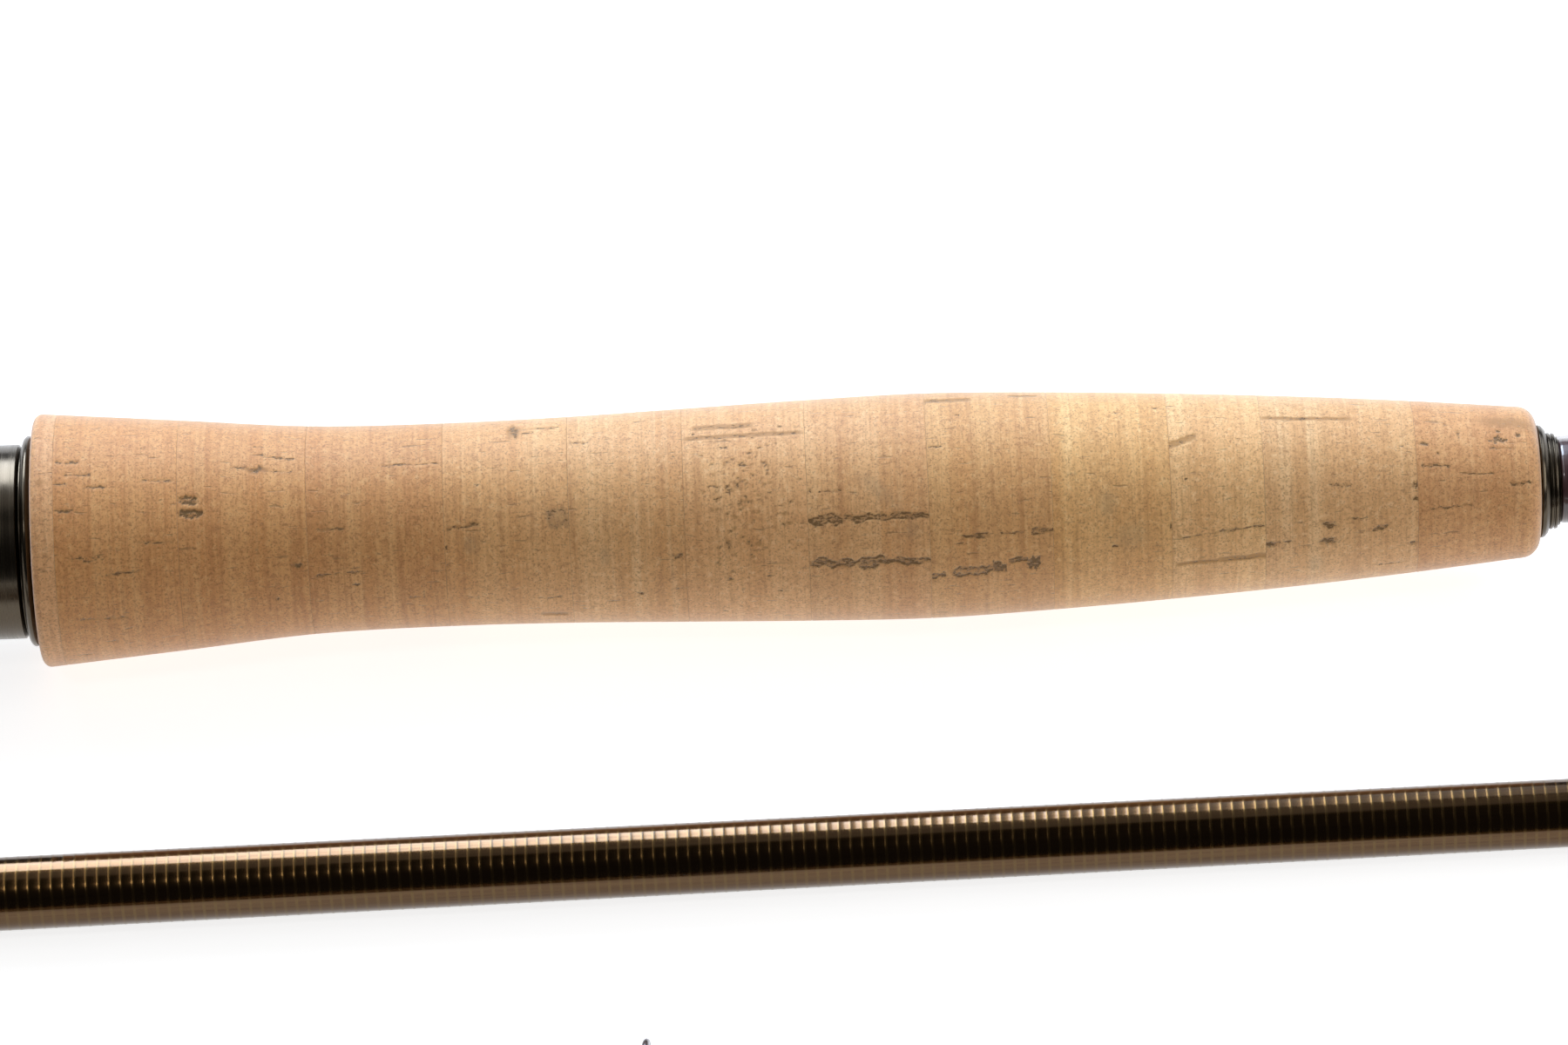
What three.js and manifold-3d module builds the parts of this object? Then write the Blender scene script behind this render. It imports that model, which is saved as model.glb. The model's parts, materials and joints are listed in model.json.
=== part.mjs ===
// A four-piece fly rod, taken apart: the butt section with its cork grip and reel seat, and three
// more sections laid beside it on a flat surface. Millimetres, +Z up.
//
// Each section is modelled in its own group: +X runs from its thick end to its thin end along the
// rod's axis, and +Z is the side that carries the line guides. The groups are then laid on the plane
// z = 0 with the guides turned sideways, towards +Y.

import * as THREE from 'three';
import * as BufferGeometryUtils from 'three/addons/utils/BufferGeometryUtils.js';
import Module from 'manifold-3d';

const wasm = await Module();
wasm.setup();

// ---- driving dimensions -------------------------------------------------------------------------

const SECTION_LENGTH = 723;
const GAP = 0.1;               // clearance between glued pieces
const ROUND = 28;              // sides of the large turned pieces
const THIN = 18;               // sides of the blanks and wraps

const BLANKS = {
  butt: { thick: 8.92, thin: 6.55, boreThick: 6.9, boreThin: 5.45, from: 3 },
  second: { thick: 7.75, thin: 5.35, boreThick: 6.84, boreThin: 4.35, from: 0 },
  third: { thick: 6.35, thin: 3.9, boreThick: 5.51, boreThin: 3.0, from: 0 },
  tip: { thick: 4.85, thin: 1.7, boreThick: 4.09, boreThin: 0.9, from: 0 },
};

const CAP = { end: 7, radius: 10, floor: 2.6, lip: 1.2 };
const BARREL = { from: 3, to: 48, radius: 8, bore: 4.65 };
const INSERT = { from: 48.3, to: 101.6, steps: 3 };
const FLAT_HEIGHT = 5.3;       // the milled flat that the reel foot sits on, above the axis
const NUT = { radius: 9.7, bore: 8.2, bevel: 0.6 };
const REAR_NUT = { from: 9.5, to: 15.5 };
const FRONT_NUT = { from: 16, to: 22.5 };
const HOOD = { radius: 9.95, bore: 8.3, pocketRadius: 9.25, pocketHalfWidth: 6.8, bevel: 0.5 };
const SLIDING_HOOD = { from: 22.8, to: 39.8, pocketDepth: 11.5 };
const FIXED_HOOD = { from: 91.6, to: 107.6, pocketDepth: 10.5, backBore: 4.8 };
const GRIP_RING = { from: 107.65, to: 108.95, radius: 10.8, bore: 4.6 };

const GRIP_START = 109;
// The length of each cork ring, from the reel seat forward.
const CORK_RINGS = [2.4, 12.5, 13, 13.9, 12.7, 11.7, 12.5, 12.3, 12.5, 12.1, 9.5, 15.6, 12.8];
const GRIP_LENGTH = CORK_RINGS.reduce((total, length) => total + length, 0);
const CORK_GLUE_LINE = 0.05;
const FLARE = { at: 1.4, radius: 12.9 };   // the grip's thickest place, which rests on the surface

const CHECK = { length: 2.1, flange: 5.8, flangeWidth: 0.85, step: 4.95, stepWidth: 1.05, bead: 4.6 };
const WRAP_THICKNESS = 0.25;
const FERRULE_WRAP_LENGTH = 22;

const KEEPER = { wire: 0.8, rise: 3.4, wrapLength: 6.4, loopLength: 9 };

const STRIPPER = {
  at: 638, ringOuter: 5.9, ringInner: 5.15, ringWidth: 1.8, ceramicOuter: 5.05, ceramicInner: 4.2,
  height: 12.2, footLength: 11, footWidth: 2.2, footThickness: 0.7, footStart: 8.5,
};

const WIRE_GUIDES = {
  second: [{ at: 290, ring: 3.15 }, { at: 560, ring: 3.1 }],
  third: [{ at: 161, ring: 3.1 }, { at: 372, ring: 2.9 }, { at: 564, ring: 2.7 }],
  tip: [
    { at: 73, ring: 2.5 }, { at: 223, ring: 2.3 }, { at: 363, ring: 2.1 }, { at: 491, ring: 2.0 },
    { at: 611, ring: 1.9 },
  ],
};
const WIRE = { second: 0.75, third: 0.75, tip: 0.6 };
const FOOT = {
  second: { width: 1.5, thickness: 0.5 },
  third: { width: 1.4, thickness: 0.5 },
  tip: { width: 1.0, thickness: 0.4 },
};
const GUIDE = { legRise: 1.8, footLength: 10, lean: 1.4 };

const TIP_TOP = {
  from: 712, tubeWall: 0.3, ring: 1.9, wire: 0.6, ringAt: 728.5, ringHeight: 2.2, rests: 1.87,
};

// How the sections lie: x and y of the thick end, the turn about the vertical in degrees, the angle
// of the guides above the horizontal in degrees, and the two places that touch the surface, each a
// distance along the section and the radius there.
const LAID = {
  butt: {
    x: 0, y: 0, turn: 0, guides: 9,
    supports: [[GRIP_START + FLARE.at, FLARE.radius], onBlank(BLANKS.butt, SECTION_LENGTH)],
  },
  second: {
    x: 4, y: -39.85, turn: 0.228, guides: 6,
    supports: [onWrap(BLANKS.second, 22), onWrap(BLANKS.second, 572)],
  },
  third: {
    x: 8.4, y: -74.9, turn: 0.25, guides: 5,
    supports: [onWrap(BLANKS.third, 22), onWrap(BLANKS.third, 576)],
  },
  tip: {
    x: 2, y: -107, turn: -0.2, guides: 9,
    supports: [onWrap(BLANKS.tip, 22), [TIP_TOP.ringAt, TIP_TOP.rests]],
  },
};

// ---- finishes -----------------------------------------------------------------------------------

const FINISHES = {
  cork: { color: 0xc79c6d, roughness: 0.8, metalness: 0 },
  gunmetal: { color: 0x4b4742, roughness: 0.35, metalness: 1 },
  insert: { color: 0x5a3a22, roughness: 0.35, metalness: 0 },
  blank: { color: 0x5b371c, roughness: 0.22, metalness: 0.6 },
  thread: { color: 0x2c1a17, roughness: 0.2, metalness: 0 },
  wire: { color: 0x5d5a62, roughness: 0.3, metalness: 1 },
  ceramic: { color: 0x1d1d20, roughness: 0.15, metalness: 0 },
};

// ---- helpers ------------------------------------------------------------------------------------

// A turned piece: [x, radius] points, up the outside and back down the inside.
function turned(profile, sides = ROUND) {
  const points = profile.map(([x, radius]) => new THREE.Vector2(radius, x));
  const geometry = new THREE.LatheGeometry(points, sides);
  return geometry.rotateZ(-Math.PI / 2);
}

// A plain sleeve from x0 to x1, with its axis raised by offset.
function sleeve(x0, x1, inner, outer, { sides = THIN, offset = 0 } = {}) {
  const profile = [[x0, inner], [x0, outer], [x1, outer], [x1, inner], [x0, inner]];
  return turned(profile, sides).translate(0, 0, offset);
}

// A flat outline in (y, z), extruded along +X from x0 to x1. A full circle gets this many sides.
function extrudedAlongX(shape, x0, x1, steps = 1, sides = ROUND) {
  const depth = x1 - x0;
  const curveSegments = sides / 2;
  const geometry = new THREE.ExtrudeGeometry(shape, { depth, steps, curveSegments, bevelEnabled: false });
  const axes = new THREE.Matrix4().makeBasis(
    new THREE.Vector3(0, 1, 0),
    new THREE.Vector3(0, 0, 1),
    new THREE.Vector3(1, 0, 0),
  );
  return geometry.applyMatrix4(axes).translate(x0, 0, 0);
}

// A straight bar of rectangular section between two points in space.
function bar(from, to, width, thickness) {
  const start = new THREE.Vector3(...from);
  const along = new THREE.Vector3(...to).sub(start);
  const geometry = new THREE.BoxGeometry(along.length(), width, thickness);
  const turn = new THREE.Quaternion().setFromUnitVectors(
    new THREE.Vector3(1, 0, 0),
    along.clone().normalize(),
  );
  return geometry.applyQuaternion(turn).translate(...start.addScaledVector(along, 0.5).toArray());
}

// A block with its low and high corners at these points.
function block([x0, y0, z0], [x1, y1, z1]) {
  const geometry = new THREE.BoxGeometry(x1 - x0, y1 - y0, z1 - z0);
  return geometry.translate((x0 + x1) / 2, (y0 + y1) / 2, (z0 + z1) / 2);
}

// A wire ring around the X axis, leaning forward at its top.
function wireRing(at, height, radius, wire, lean) {
  const geometry = new THREE.TorusGeometry(radius, wire / 2, 6, 16);
  geometry.rotateY(Math.PI / 2);
  geometry.rotateY(lean);
  return geometry.translate(at, 0, height);
}

function solid(geometry) {
  const bare = geometry.clone();
  bare.deleteAttribute('normal');
  bare.deleteAttribute('uv');
  const merged = BufferGeometryUtils.mergeVertices(bare, 1e-4);
  const vertProperties = new Float32Array(merged.attributes.position.array);
  const triVerts = new Uint32Array(merged.index.array);
  return new wasm.Manifold(new wasm.Mesh({ numProp: 3, vertProperties, triVerts }));
}

function geometryOf(manifold) {
  const mesh = manifold.getMesh();
  const geometry = new THREE.BufferGeometry();
  geometry.setAttribute('position', new THREE.BufferAttribute(new Float32Array(mesh.vertProperties), 3));
  geometry.setIndex(new THREE.BufferAttribute(new Uint32Array(mesh.triVerts), 1));
  geometry.computeVertexNormals();
  return geometry;
}

function joined(geometries) {
  return geometryOf(geometries.map(solid).reduce((whole, piece) => whole.add(piece)));
}

function blankRadius(blank, x) {
  return THREE.MathUtils.lerp(blank.thick, blank.thin, x / SECTION_LENGTH) / 2;
}

function onBlank(blank, x) {
  return [x, blankRadius(blank, x)];
}

function onWrap(blank, x) {
  return [x, blankRadius(blank, x) + GAP + WRAP_THICKNESS];
}

function node(group, name, geometry, finish) {
  const mesh = new THREE.Mesh(geometry, new THREE.MeshStandardMaterial(FINISHES[finish]));
  mesh.name = name;
  group.add(mesh);
  return mesh;
}

// ---- parts that every section has -----------------------------------------------------------------

function addBlank(group, name, blank) {
  const x0 = blank.from;
  const x1 = SECTION_LENGTH;
  const profile = [
    [x0, blank.boreThick / 2],
    [x0, blankRadius(blank, x0)],
    [x1, blankRadius(blank, x1)],
    [x1, blank.boreThin / 2],
    [x0, blank.boreThick / 2],
  ];
  node(group, name, turned(profile, THIN), 'blank');
}

// Thread wound round the socket at a section's thick end.
function addFerruleWrap(group, name, blank) {
  const inner = blank.thick / 2 + GAP;
  node(group, name, sleeve(1, 1 + FERRULE_WRAP_LENGTH, inner, inner + WRAP_THICKNESS), 'thread');
}

// A round outline of this radius that rises over a foot of this half-width and top height.
function overFoot(radius, halfWidth, top, PathType) {
  const corner = Math.hypot(halfWidth, top);
  const leaves = Math.acos(radius / corner) + Math.atan2(halfWidth, top);
  const upright = Math.PI / 2;
  const outline = new PathType();
  outline.absarc(0, 0, radius, upright + leaves, upright - leaves + 2 * Math.PI, false);
  outline.lineTo(halfWidth, top);
  outline.lineTo(-halfWidth, top);
  outline.closePath();
  return outline;
}

// Thread that binds a foot to the blank: it hugs the blank and rises over the foot.
function footWrap(x0, x1, radius, footWidth, footThickness) {
  const grow = GAP + WRAP_THICKNESS;
  const footTop = radius + GAP + footThickness;
  const outline = overFoot(radius + grow, footWidth / 2 + grow, footTop + grow, THREE.Shape);
  outline.holes.push(overFoot(radius + GAP, footWidth / 2 + GAP, footTop + GAP, THREE.Path));
  return extrudedAlongX(outline, x0, x1, 1, THIN);
}

// A single-foot guide bent from wire: a ring, a short leg and a flat foot under its wrap.
function addWireGuide(group, prefix, number, blank, key, { at, ring }) {
  const foot = FOOT[key];
  const wire = WIRE[key];
  const radius = blankRadius(blank, at);
  const footBottom = radius + GAP;
  const footTop = footBottom + foot.thickness;
  const ringHeight = radius + GUIDE.legRise + ring;
  const lean = THREE.MathUtils.degToRad(6);
  const footStart = at + GUIDE.lean;
  const pieces = [
    wireRing(at, ringHeight, ring, wire, lean),
    bar([at, 0, ringHeight - ring], [footStart + 0.5, 0, footBottom + foot.thickness / 2],
      foot.width, foot.thickness),
    block([footStart, -foot.width / 2, footBottom],
      [footStart + GUIDE.footLength, foot.width / 2, footTop]),
  ];
  node(group, `${prefix}_guide_${number}`, joined(pieces), 'wire');
  const wrapStart = footStart + 1.6;
  const wrapEnd = footStart + GUIDE.footLength + 2;
  const wrap = footWrap(wrapStart, wrapEnd, radius, foot.width, foot.thickness);
  node(group, `${prefix}_guide_wrap_${number}`, wrap, 'thread');
}

// ---- reel seat ------------------------------------------------------------------------------------

// A circle with a flat milled off its top, and a bore for the blank.
function flattedOutline(radius, flatHeight, bore) {
  const halfFlat = Math.acos(flatHeight / radius);
  const top = Math.PI / 2;
  const outline = new THREE.Shape();
  outline.absarc(0, 0, radius, top + halfFlat, top - halfFlat + 2 * Math.PI, false);
  outline.closePath();
  const hole = new THREE.Path();
  hole.absarc(0, 0, bore, 0, 2 * Math.PI, true);
  outline.holes.push(hole);
  return outline;
}

// The pocket that takes one end of a reel foot.
function hoodPocket(x0, x1) {
  const round = turned([[x0, 0], [x0, HOOD.pocketRadius], [x1, HOOD.pocketRadius], [x1, 0]]);
  const width = HOOD.pocketHalfWidth;
  return solid(round).intersect(solid(block([x0 - 1, -width, 0], [x1 + 1, width, HOOD.radius])));
}

function addReelSeat(group) {
  const cap = [
    [0, 0],
    [0, CAP.radius - CAP.lip],
    [CAP.lip, CAP.radius],
    [CAP.end, CAP.radius],
    [CAP.end, BARREL.radius + 0.2],
    [CAP.floor, BARREL.radius + 0.2],
    [CAP.floor, 0],
  ];
  node(group, 'butt_cap', turned(cap), 'gunmetal');

  const flatted = flattedOutline(BARREL.radius, FLAT_HEIGHT, BARREL.bore);
  node(group, 'seat_barrel', extrudedAlongX(flatted, BARREL.from, BARREL.to), 'gunmetal');
  const insert = extrudedAlongX(flatted, INSERT.from, INSERT.to, INSERT.steps);
  node(group, 'seat_insert', insert, 'insert');

  const nuts = [['rear_lock_nut', REAR_NUT], ['front_lock_nut', FRONT_NUT]];
  for (const [name, { from, to }] of nuts) {
    const profile = [
      [from, NUT.bore],
      [from, NUT.radius - NUT.bevel],
      [from + NUT.bevel, NUT.radius],
      [to - NUT.bevel, NUT.radius],
      [to, NUT.radius - NUT.bevel],
      [to, NUT.bore],
      [from, NUT.bore],
    ];
    node(group, name, turned(profile), 'gunmetal');
  }

  const slidingShell = turned([
    [SLIDING_HOOD.from, HOOD.bore],
    [SLIDING_HOOD.from, HOOD.radius - HOOD.bevel],
    [SLIDING_HOOD.from + HOOD.bevel, HOOD.radius],
    [SLIDING_HOOD.to - HOOD.bevel, HOOD.radius],
    [SLIDING_HOOD.to, HOOD.radius - HOOD.bevel],
    [SLIDING_HOOD.to, HOOD.bore],
    [SLIDING_HOOD.from, HOOD.bore],
  ]);
  const slidingPocket = hoodPocket(SLIDING_HOOD.to - SLIDING_HOOD.pocketDepth, SLIDING_HOOD.to + 1);
  const slidingHood = geometryOf(solid(slidingShell).subtract(slidingPocket));
  node(group, 'sliding_hood', slidingHood, 'gunmetal');

  const pocketEnd = FIXED_HOOD.from + FIXED_HOOD.pocketDepth;
  const fixedShell = turned([
    [FIXED_HOOD.from, HOOD.bore],
    [FIXED_HOOD.from, HOOD.radius - HOOD.bevel],
    [FIXED_HOOD.from + HOOD.bevel, HOOD.radius],
    [FIXED_HOOD.to, HOOD.radius],
    [FIXED_HOOD.to, FIXED_HOOD.backBore],
    [pocketEnd, FIXED_HOOD.backBore],
    [pocketEnd, HOOD.bore],
    [FIXED_HOOD.from, HOOD.bore],
  ]);
  const fixedPocket = hoodPocket(FIXED_HOOD.from - 1, pocketEnd);
  node(group, 'fixed_hood', geometryOf(solid(fixedShell).subtract(fixedPocket)), 'gunmetal');

  const beadMiddle = (GRIP_RING.from + GRIP_RING.to) / 2;
  const gripRing = [
    [GRIP_RING.from, GRIP_RING.bore],
    [GRIP_RING.from, HOOD.radius],
    [beadMiddle - 0.3, GRIP_RING.radius - 0.1],
    [beadMiddle, GRIP_RING.radius],
    [beadMiddle + 0.3, GRIP_RING.radius - 0.1],
    [GRIP_RING.to, GRIP_RING.radius - 0.5],
    [GRIP_RING.to, GRIP_RING.bore],
    [GRIP_RING.from, GRIP_RING.bore],
  ];
  node(group, 'grip_ring', turned(gripRing), 'gunmetal');
}

// ---- grip -----------------------------------------------------------------------------------------

// The grip's side from its rear face: distance along the grip, and radius.
const GRIP_CURVE = new THREE.SplineCurve([
  [0, 12.98], [FLARE.at, FLARE.radius], [13.9, 11.85], [27.3, 10.69], [42.4, 10.4], [56.4, 10.6],
  [72.4, 11.12], [89.8, 11.53], [103.4, 11.15], [116.4, 10.5], [130, 9.63], [143.4, 8.55],
  [GRIP_LENGTH, 7.57],
].map(([x, radius]) => new THREE.Vector2(x, radius)));
const GRIP_SAMPLES = GRIP_CURVE.getPoints(400);
const REAR_ROUNDING = 0.9;
const FRONT_ROUNDING = 1.7;

// The radius of the grip's side, with a quarter-round at each end.
function gripRadius(distance) {
  const after = GRIP_SAMPLES.findIndex((point) => point.x >= distance);
  const high = GRIP_SAMPLES[Math.max(after, 1)];
  const low = GRIP_SAMPLES[Math.max(after, 1) - 1];
  const share = THREE.MathUtils.clamp((distance - low.x) / (high.x - low.x), 0, 1);
  const side = THREE.MathUtils.lerp(low.y, high.y, share);
  const roundedOff = (depth, rounding) => {
    const inside = Math.max(rounding - depth, 0);
    return rounding - Math.sqrt(rounding ** 2 - inside ** 2);
  };
  const rear = roundedOff(distance, REAR_ROUNDING);
  const front = roundedOff(GRIP_LENGTH - distance, FRONT_ROUNDING);
  return side - rear - front;
}

function addGrip(group) {
  let start = 0;
  CORK_RINGS.forEach((length, index) => {
    const end = start + length;
    const isFirst = index === 0;
    const isLast = index === CORK_RINGS.length - 1;
    const from = start + (isFirst ? 0 : CORK_GLUE_LINE);
    const shares = [0, 1];
    if (isFirst) shares.splice(1, 0, 0.15, REAR_ROUNDING / length);
    if (isLast) shares.splice(1, 0, 1 - FRONT_ROUNDING / length, 1 - 0.5 / length);
    const stations = shares.map((share) => THREE.MathUtils.lerp(from, end, share));
    const bore = blankRadius(BLANKS.butt, GRIP_START + from) + GAP;
    const outside = stations.map((distance) => [GRIP_START + distance, gripRadius(distance)]);
    const profile = [
      [GRIP_START + from, bore],
      ...outside,
      [GRIP_START + end, bore],
      [GRIP_START + from, bore],
    ];
    node(group, `cork_ring_${String(index + 1).padStart(2, '0')}`, turned(profile), 'cork');
    start = end;
  });
}

function addWindingCheck(group) {
  const x0 = GRIP_START + GRIP_LENGTH + CORK_GLUE_LINE;
  const bore = blankRadius(BLANKS.butt, x0) + GAP;
  const flangeEnd = x0 + CHECK.flangeWidth;
  const stepEnd = flangeEnd + CHECK.stepWidth;
  const end = x0 + CHECK.length;
  const profile = [
    [x0, bore],
    [x0, CHECK.flange],
    [flangeEnd, CHECK.flange - 0.3],
    [flangeEnd, CHECK.step],
    [stepEnd, CHECK.step - 0.1],
    [stepEnd, CHECK.bead],
    [end, CHECK.bead],
    [end, bore],
    [x0, bore],
  ];
  node(group, 'winding_check', turned(profile, THIN), 'gunmetal');
  return end;
}

// A wire loop that holds the hook when the rod is carried, with a wrap over each end.
function addHookKeeper(group, checkEnd) {
  const radius = blankRadius(BLANKS.butt, checkEnd);
  const { wire, rise, wrapLength, loopLength } = KEEPER;
  const low = radius + GAP + wire / 2;
  const rearWrap = checkEnd + CORK_GLUE_LINE;
  const loopStart = rearWrap + wrapLength;
  const loopEnd = loopStart + loopLength;
  const tail = wrapLength - 1;
  const path = new THREE.CatmullRomCurve3([
    [loopStart - tail, low],
    [loopStart - tail / 2, low],
    [loopStart, low],
    [loopStart + loopLength * 0.2, low + rise * 0.75],
    [loopStart + loopLength * 0.5, low + rise],
    [loopStart + loopLength * 0.8, low + rise * 0.75],
    [loopEnd, low],
    [loopEnd + tail / 2, low],
    [loopEnd + tail, low],
  ].map(([x, z]) => new THREE.Vector3(x, 0, z)));
  const section = new THREE.Shape().absarc(0, 0, wire / 2, 0, 2 * Math.PI, false);
  const loop = new THREE.ExtrudeGeometry(section, { steps: 18, curveSegments: 6, extrudePath: path });
  node(group, 'hook_keeper', loop, 'wire');
  const wraps = [
    ['hook_keeper_wrap_rear', rearWrap, loopStart - 0.4],
    ['hook_keeper_wrap_front', loopEnd + 0.4, loopEnd + wrapLength],
  ];
  for (const [name, x0, x1] of wraps) {
    node(group, name, footWrap(x0, x1, radius, wire, wire), 'thread');
  }
}

// The large two-foot guide nearest the reel, with a hard ring let into its frame.
function addStrippingGuide(group) {
  const guide = STRIPPER;
  const radius = blankRadius(BLANKS.butt, guide.at - guide.footStart - guide.footLength);
  const footBottom = radius + GAP;
  const footMiddle = footBottom + guide.footThickness / 2;
  const side = guide.ringOuter - 0.4;
  const halfWidth = guide.ringWidth / 2;
  const pieces = [
    sleeve(guide.at - halfWidth, guide.at + halfWidth, guide.ringInner, guide.ringOuter,
      { offset: guide.height, sides: ROUND }),
  ];
  for (const direction of [-1, 1]) {
    const footStart = guide.at + direction * guide.footStart;
    const footEnd = footStart + direction * guide.footLength;
    pieces.push(block(
      [Math.min(footStart, footEnd), -guide.footWidth / 2, footBottom],
      [Math.max(footStart, footEnd), guide.footWidth / 2, footBottom + guide.footThickness],
    ));
    for (const hand of [-1, 1]) {
      pieces.push(bar(
        [footStart + direction * 0.6, hand * 0.5, footMiddle],
        [guide.at, hand * side * 0.87, guide.height - side * 0.45],
        1.1, 0.8,
      ));
    }
    const wrapStart = footStart + direction * 1.2;
    const wrapEnd = footEnd + direction * 2.5;
    const wrap = footWrap(Math.min(wrapStart, wrapEnd), Math.max(wrapStart, wrapEnd),
      radius, guide.footWidth, guide.footThickness);
    node(group, `stripping_guide_wrap_${direction < 0 ? 'rear' : 'front'}`, wrap, 'thread');
  }
  // the legs run into the frame, so its hole is cut clear again
  const hole = turned([
    [guide.at - guide.ringOuter, 0],
    [guide.at - guide.ringOuter, guide.ringInner],
    [guide.at + guide.ringOuter, guide.ringInner],
    [guide.at + guide.ringOuter, 0],
  ]).translate(0, 0, guide.height);
  const frame = solid(joined(pieces)).subtract(solid(hole));
  node(group, 'stripping_guide', geometryOf(frame), 'wire');
  const ceramic = sleeve(guide.at - halfWidth, guide.at + halfWidth, guide.ceramicInner,
    guide.ceramicOuter, { offset: guide.height, sides: ROUND });
  node(group, 'stripping_guide_insert', ceramic, 'ceramic');
}

// The tube and loop at the very end of the rod.
function addTipTop(group) {
  const bore = BLANKS.tip.thin / 2 + 0.12;
  const outer = bore + TIP_TOP.tubeWall;
  const end = SECTION_LENGTH + 1.5;
  const tube = turned([
    [TIP_TOP.from, bore + 0.02],
    [TIP_TOP.from, outer],
    [end, outer],
    [end, 0],
    [end - 1, 0],
    [end - 1, bore],
    [TIP_TOP.from, bore + 0.02],
  ], THIN);
  const ring = wireRing(TIP_TOP.ringAt, TIP_TOP.ringHeight, TIP_TOP.ring, TIP_TOP.wire, 0.2);
  const arms = [-1, 1].map((hand) => bar(
    [TIP_TOP.from + 6, hand * (outer - 0.1), 0],
    [TIP_TOP.ringAt, hand * TIP_TOP.ring * 0.95, TIP_TOP.ringHeight],
    TIP_TOP.wire, TIP_TOP.wire,
  ));
  const nose = bar([end - 1, 0, 0], [TIP_TOP.ringAt, 0, TIP_TOP.ringHeight - TIP_TOP.ring],
    TIP_TOP.wire, TIP_TOP.wire);
  node(group, 'tip_top', joined([tube, ring, ...arms, nose]), 'wire');
  const inner = blankRadius(BLANKS.tip, TIP_TOP.from - 9) + GAP;
  node(group, 'tip_top_wrap', sleeve(TIP_TOP.from - 9, TIP_TOP.from - 0.5, inner, inner + WRAP_THICKNESS),
    'thread');
}

// ---- sections -------------------------------------------------------------------------------------

function buttSection() {
  const group = new THREE.Group();
  addReelSeat(group);
  addGrip(group);
  const checkEnd = addWindingCheck(group);
  addBlank(group, 'butt_blank', BLANKS.butt);
  addHookKeeper(group, checkEnd);
  addStrippingGuide(group);
  return group;
}

function guideSection(prefix, key) {
  const group = new THREE.Group();
  addBlank(group, `${prefix}_blank`, BLANKS[key]);
  addFerruleWrap(group, `${prefix}_ferrule_wrap`, BLANKS[key]);
  WIRE_GUIDES[key].forEach((guide, index) => {
    addWireGuide(group, prefix, index + 1, BLANKS[key], key, guide);
  });
  return group;
}

// Lays a section on the plane: it tilts between its two supports, and rolls until its guides point
// towards +Y at their angle above the horizontal.
function lay(group, { x, y, turn, guides, supports }) {
  const [[x0, radius0], [x1, radius1]] = supports;
  const tilt = Math.asin((radius0 - radius1) / (x1 - x0));
  const height = radius0 / Math.cos(tilt) + x0 * Math.sin(tilt);
  group.rotation.order = 'ZYX';
  group.rotation.set(
    -THREE.MathUtils.degToRad(90 - guides),
    tilt,
    THREE.MathUtils.degToRad(turn),
  );
  group.position.set(x, y, height);
  return group;
}

const tipSection = guideSection('tip', 'tip');
addTipTop(tipSection);

const sections = new THREE.Group();
sections.add(lay(buttSection(), LAID.butt));
sections.add(lay(guideSection('section_2', 'second'), LAID.second));
sections.add(lay(guideSection('section_3', 'third'), LAID.third));
sections.add(lay(tipSection, LAID.tip));

// The origin is the middle of the footprint, on the plane that the sections lie on.
const rod = new THREE.Group();
rod.add(sections);
rod.updateMatrixWorld(true);
const extent = new THREE.Box3().setFromObject(rod, true);
const middle = extent.getCenter(new THREE.Vector3());
sections.position.set(-middle.x, -middle.y, -extent.min.z);
rod.updateMatrixWorld(true);

export default rod;
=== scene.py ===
import functools
import json
import math

import bmesh
import bpy
import numpy as np
from mathutils import Matrix, Vector

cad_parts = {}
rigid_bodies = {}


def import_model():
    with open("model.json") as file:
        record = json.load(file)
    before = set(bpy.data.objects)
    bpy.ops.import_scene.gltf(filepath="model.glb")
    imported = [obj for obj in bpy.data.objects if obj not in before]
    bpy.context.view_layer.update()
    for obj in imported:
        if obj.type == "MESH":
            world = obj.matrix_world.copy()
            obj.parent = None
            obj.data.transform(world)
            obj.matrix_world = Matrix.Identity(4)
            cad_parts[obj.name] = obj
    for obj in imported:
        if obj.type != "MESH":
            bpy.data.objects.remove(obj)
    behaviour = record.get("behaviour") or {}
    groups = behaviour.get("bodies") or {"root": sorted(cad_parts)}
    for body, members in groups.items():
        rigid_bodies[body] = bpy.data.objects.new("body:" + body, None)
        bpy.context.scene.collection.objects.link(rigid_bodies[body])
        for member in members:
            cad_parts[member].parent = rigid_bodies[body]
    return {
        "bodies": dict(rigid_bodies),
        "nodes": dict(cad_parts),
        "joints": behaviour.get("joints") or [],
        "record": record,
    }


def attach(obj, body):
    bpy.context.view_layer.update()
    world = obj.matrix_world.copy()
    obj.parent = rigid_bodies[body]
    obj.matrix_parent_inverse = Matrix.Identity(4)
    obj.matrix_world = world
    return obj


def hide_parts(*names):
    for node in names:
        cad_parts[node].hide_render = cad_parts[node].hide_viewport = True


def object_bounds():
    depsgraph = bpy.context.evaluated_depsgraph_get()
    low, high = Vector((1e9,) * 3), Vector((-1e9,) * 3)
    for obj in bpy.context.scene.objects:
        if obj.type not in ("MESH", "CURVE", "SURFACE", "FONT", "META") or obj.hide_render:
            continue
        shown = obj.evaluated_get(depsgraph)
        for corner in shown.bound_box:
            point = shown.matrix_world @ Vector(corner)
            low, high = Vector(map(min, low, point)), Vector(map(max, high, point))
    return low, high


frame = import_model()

CAD_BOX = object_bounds()

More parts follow.
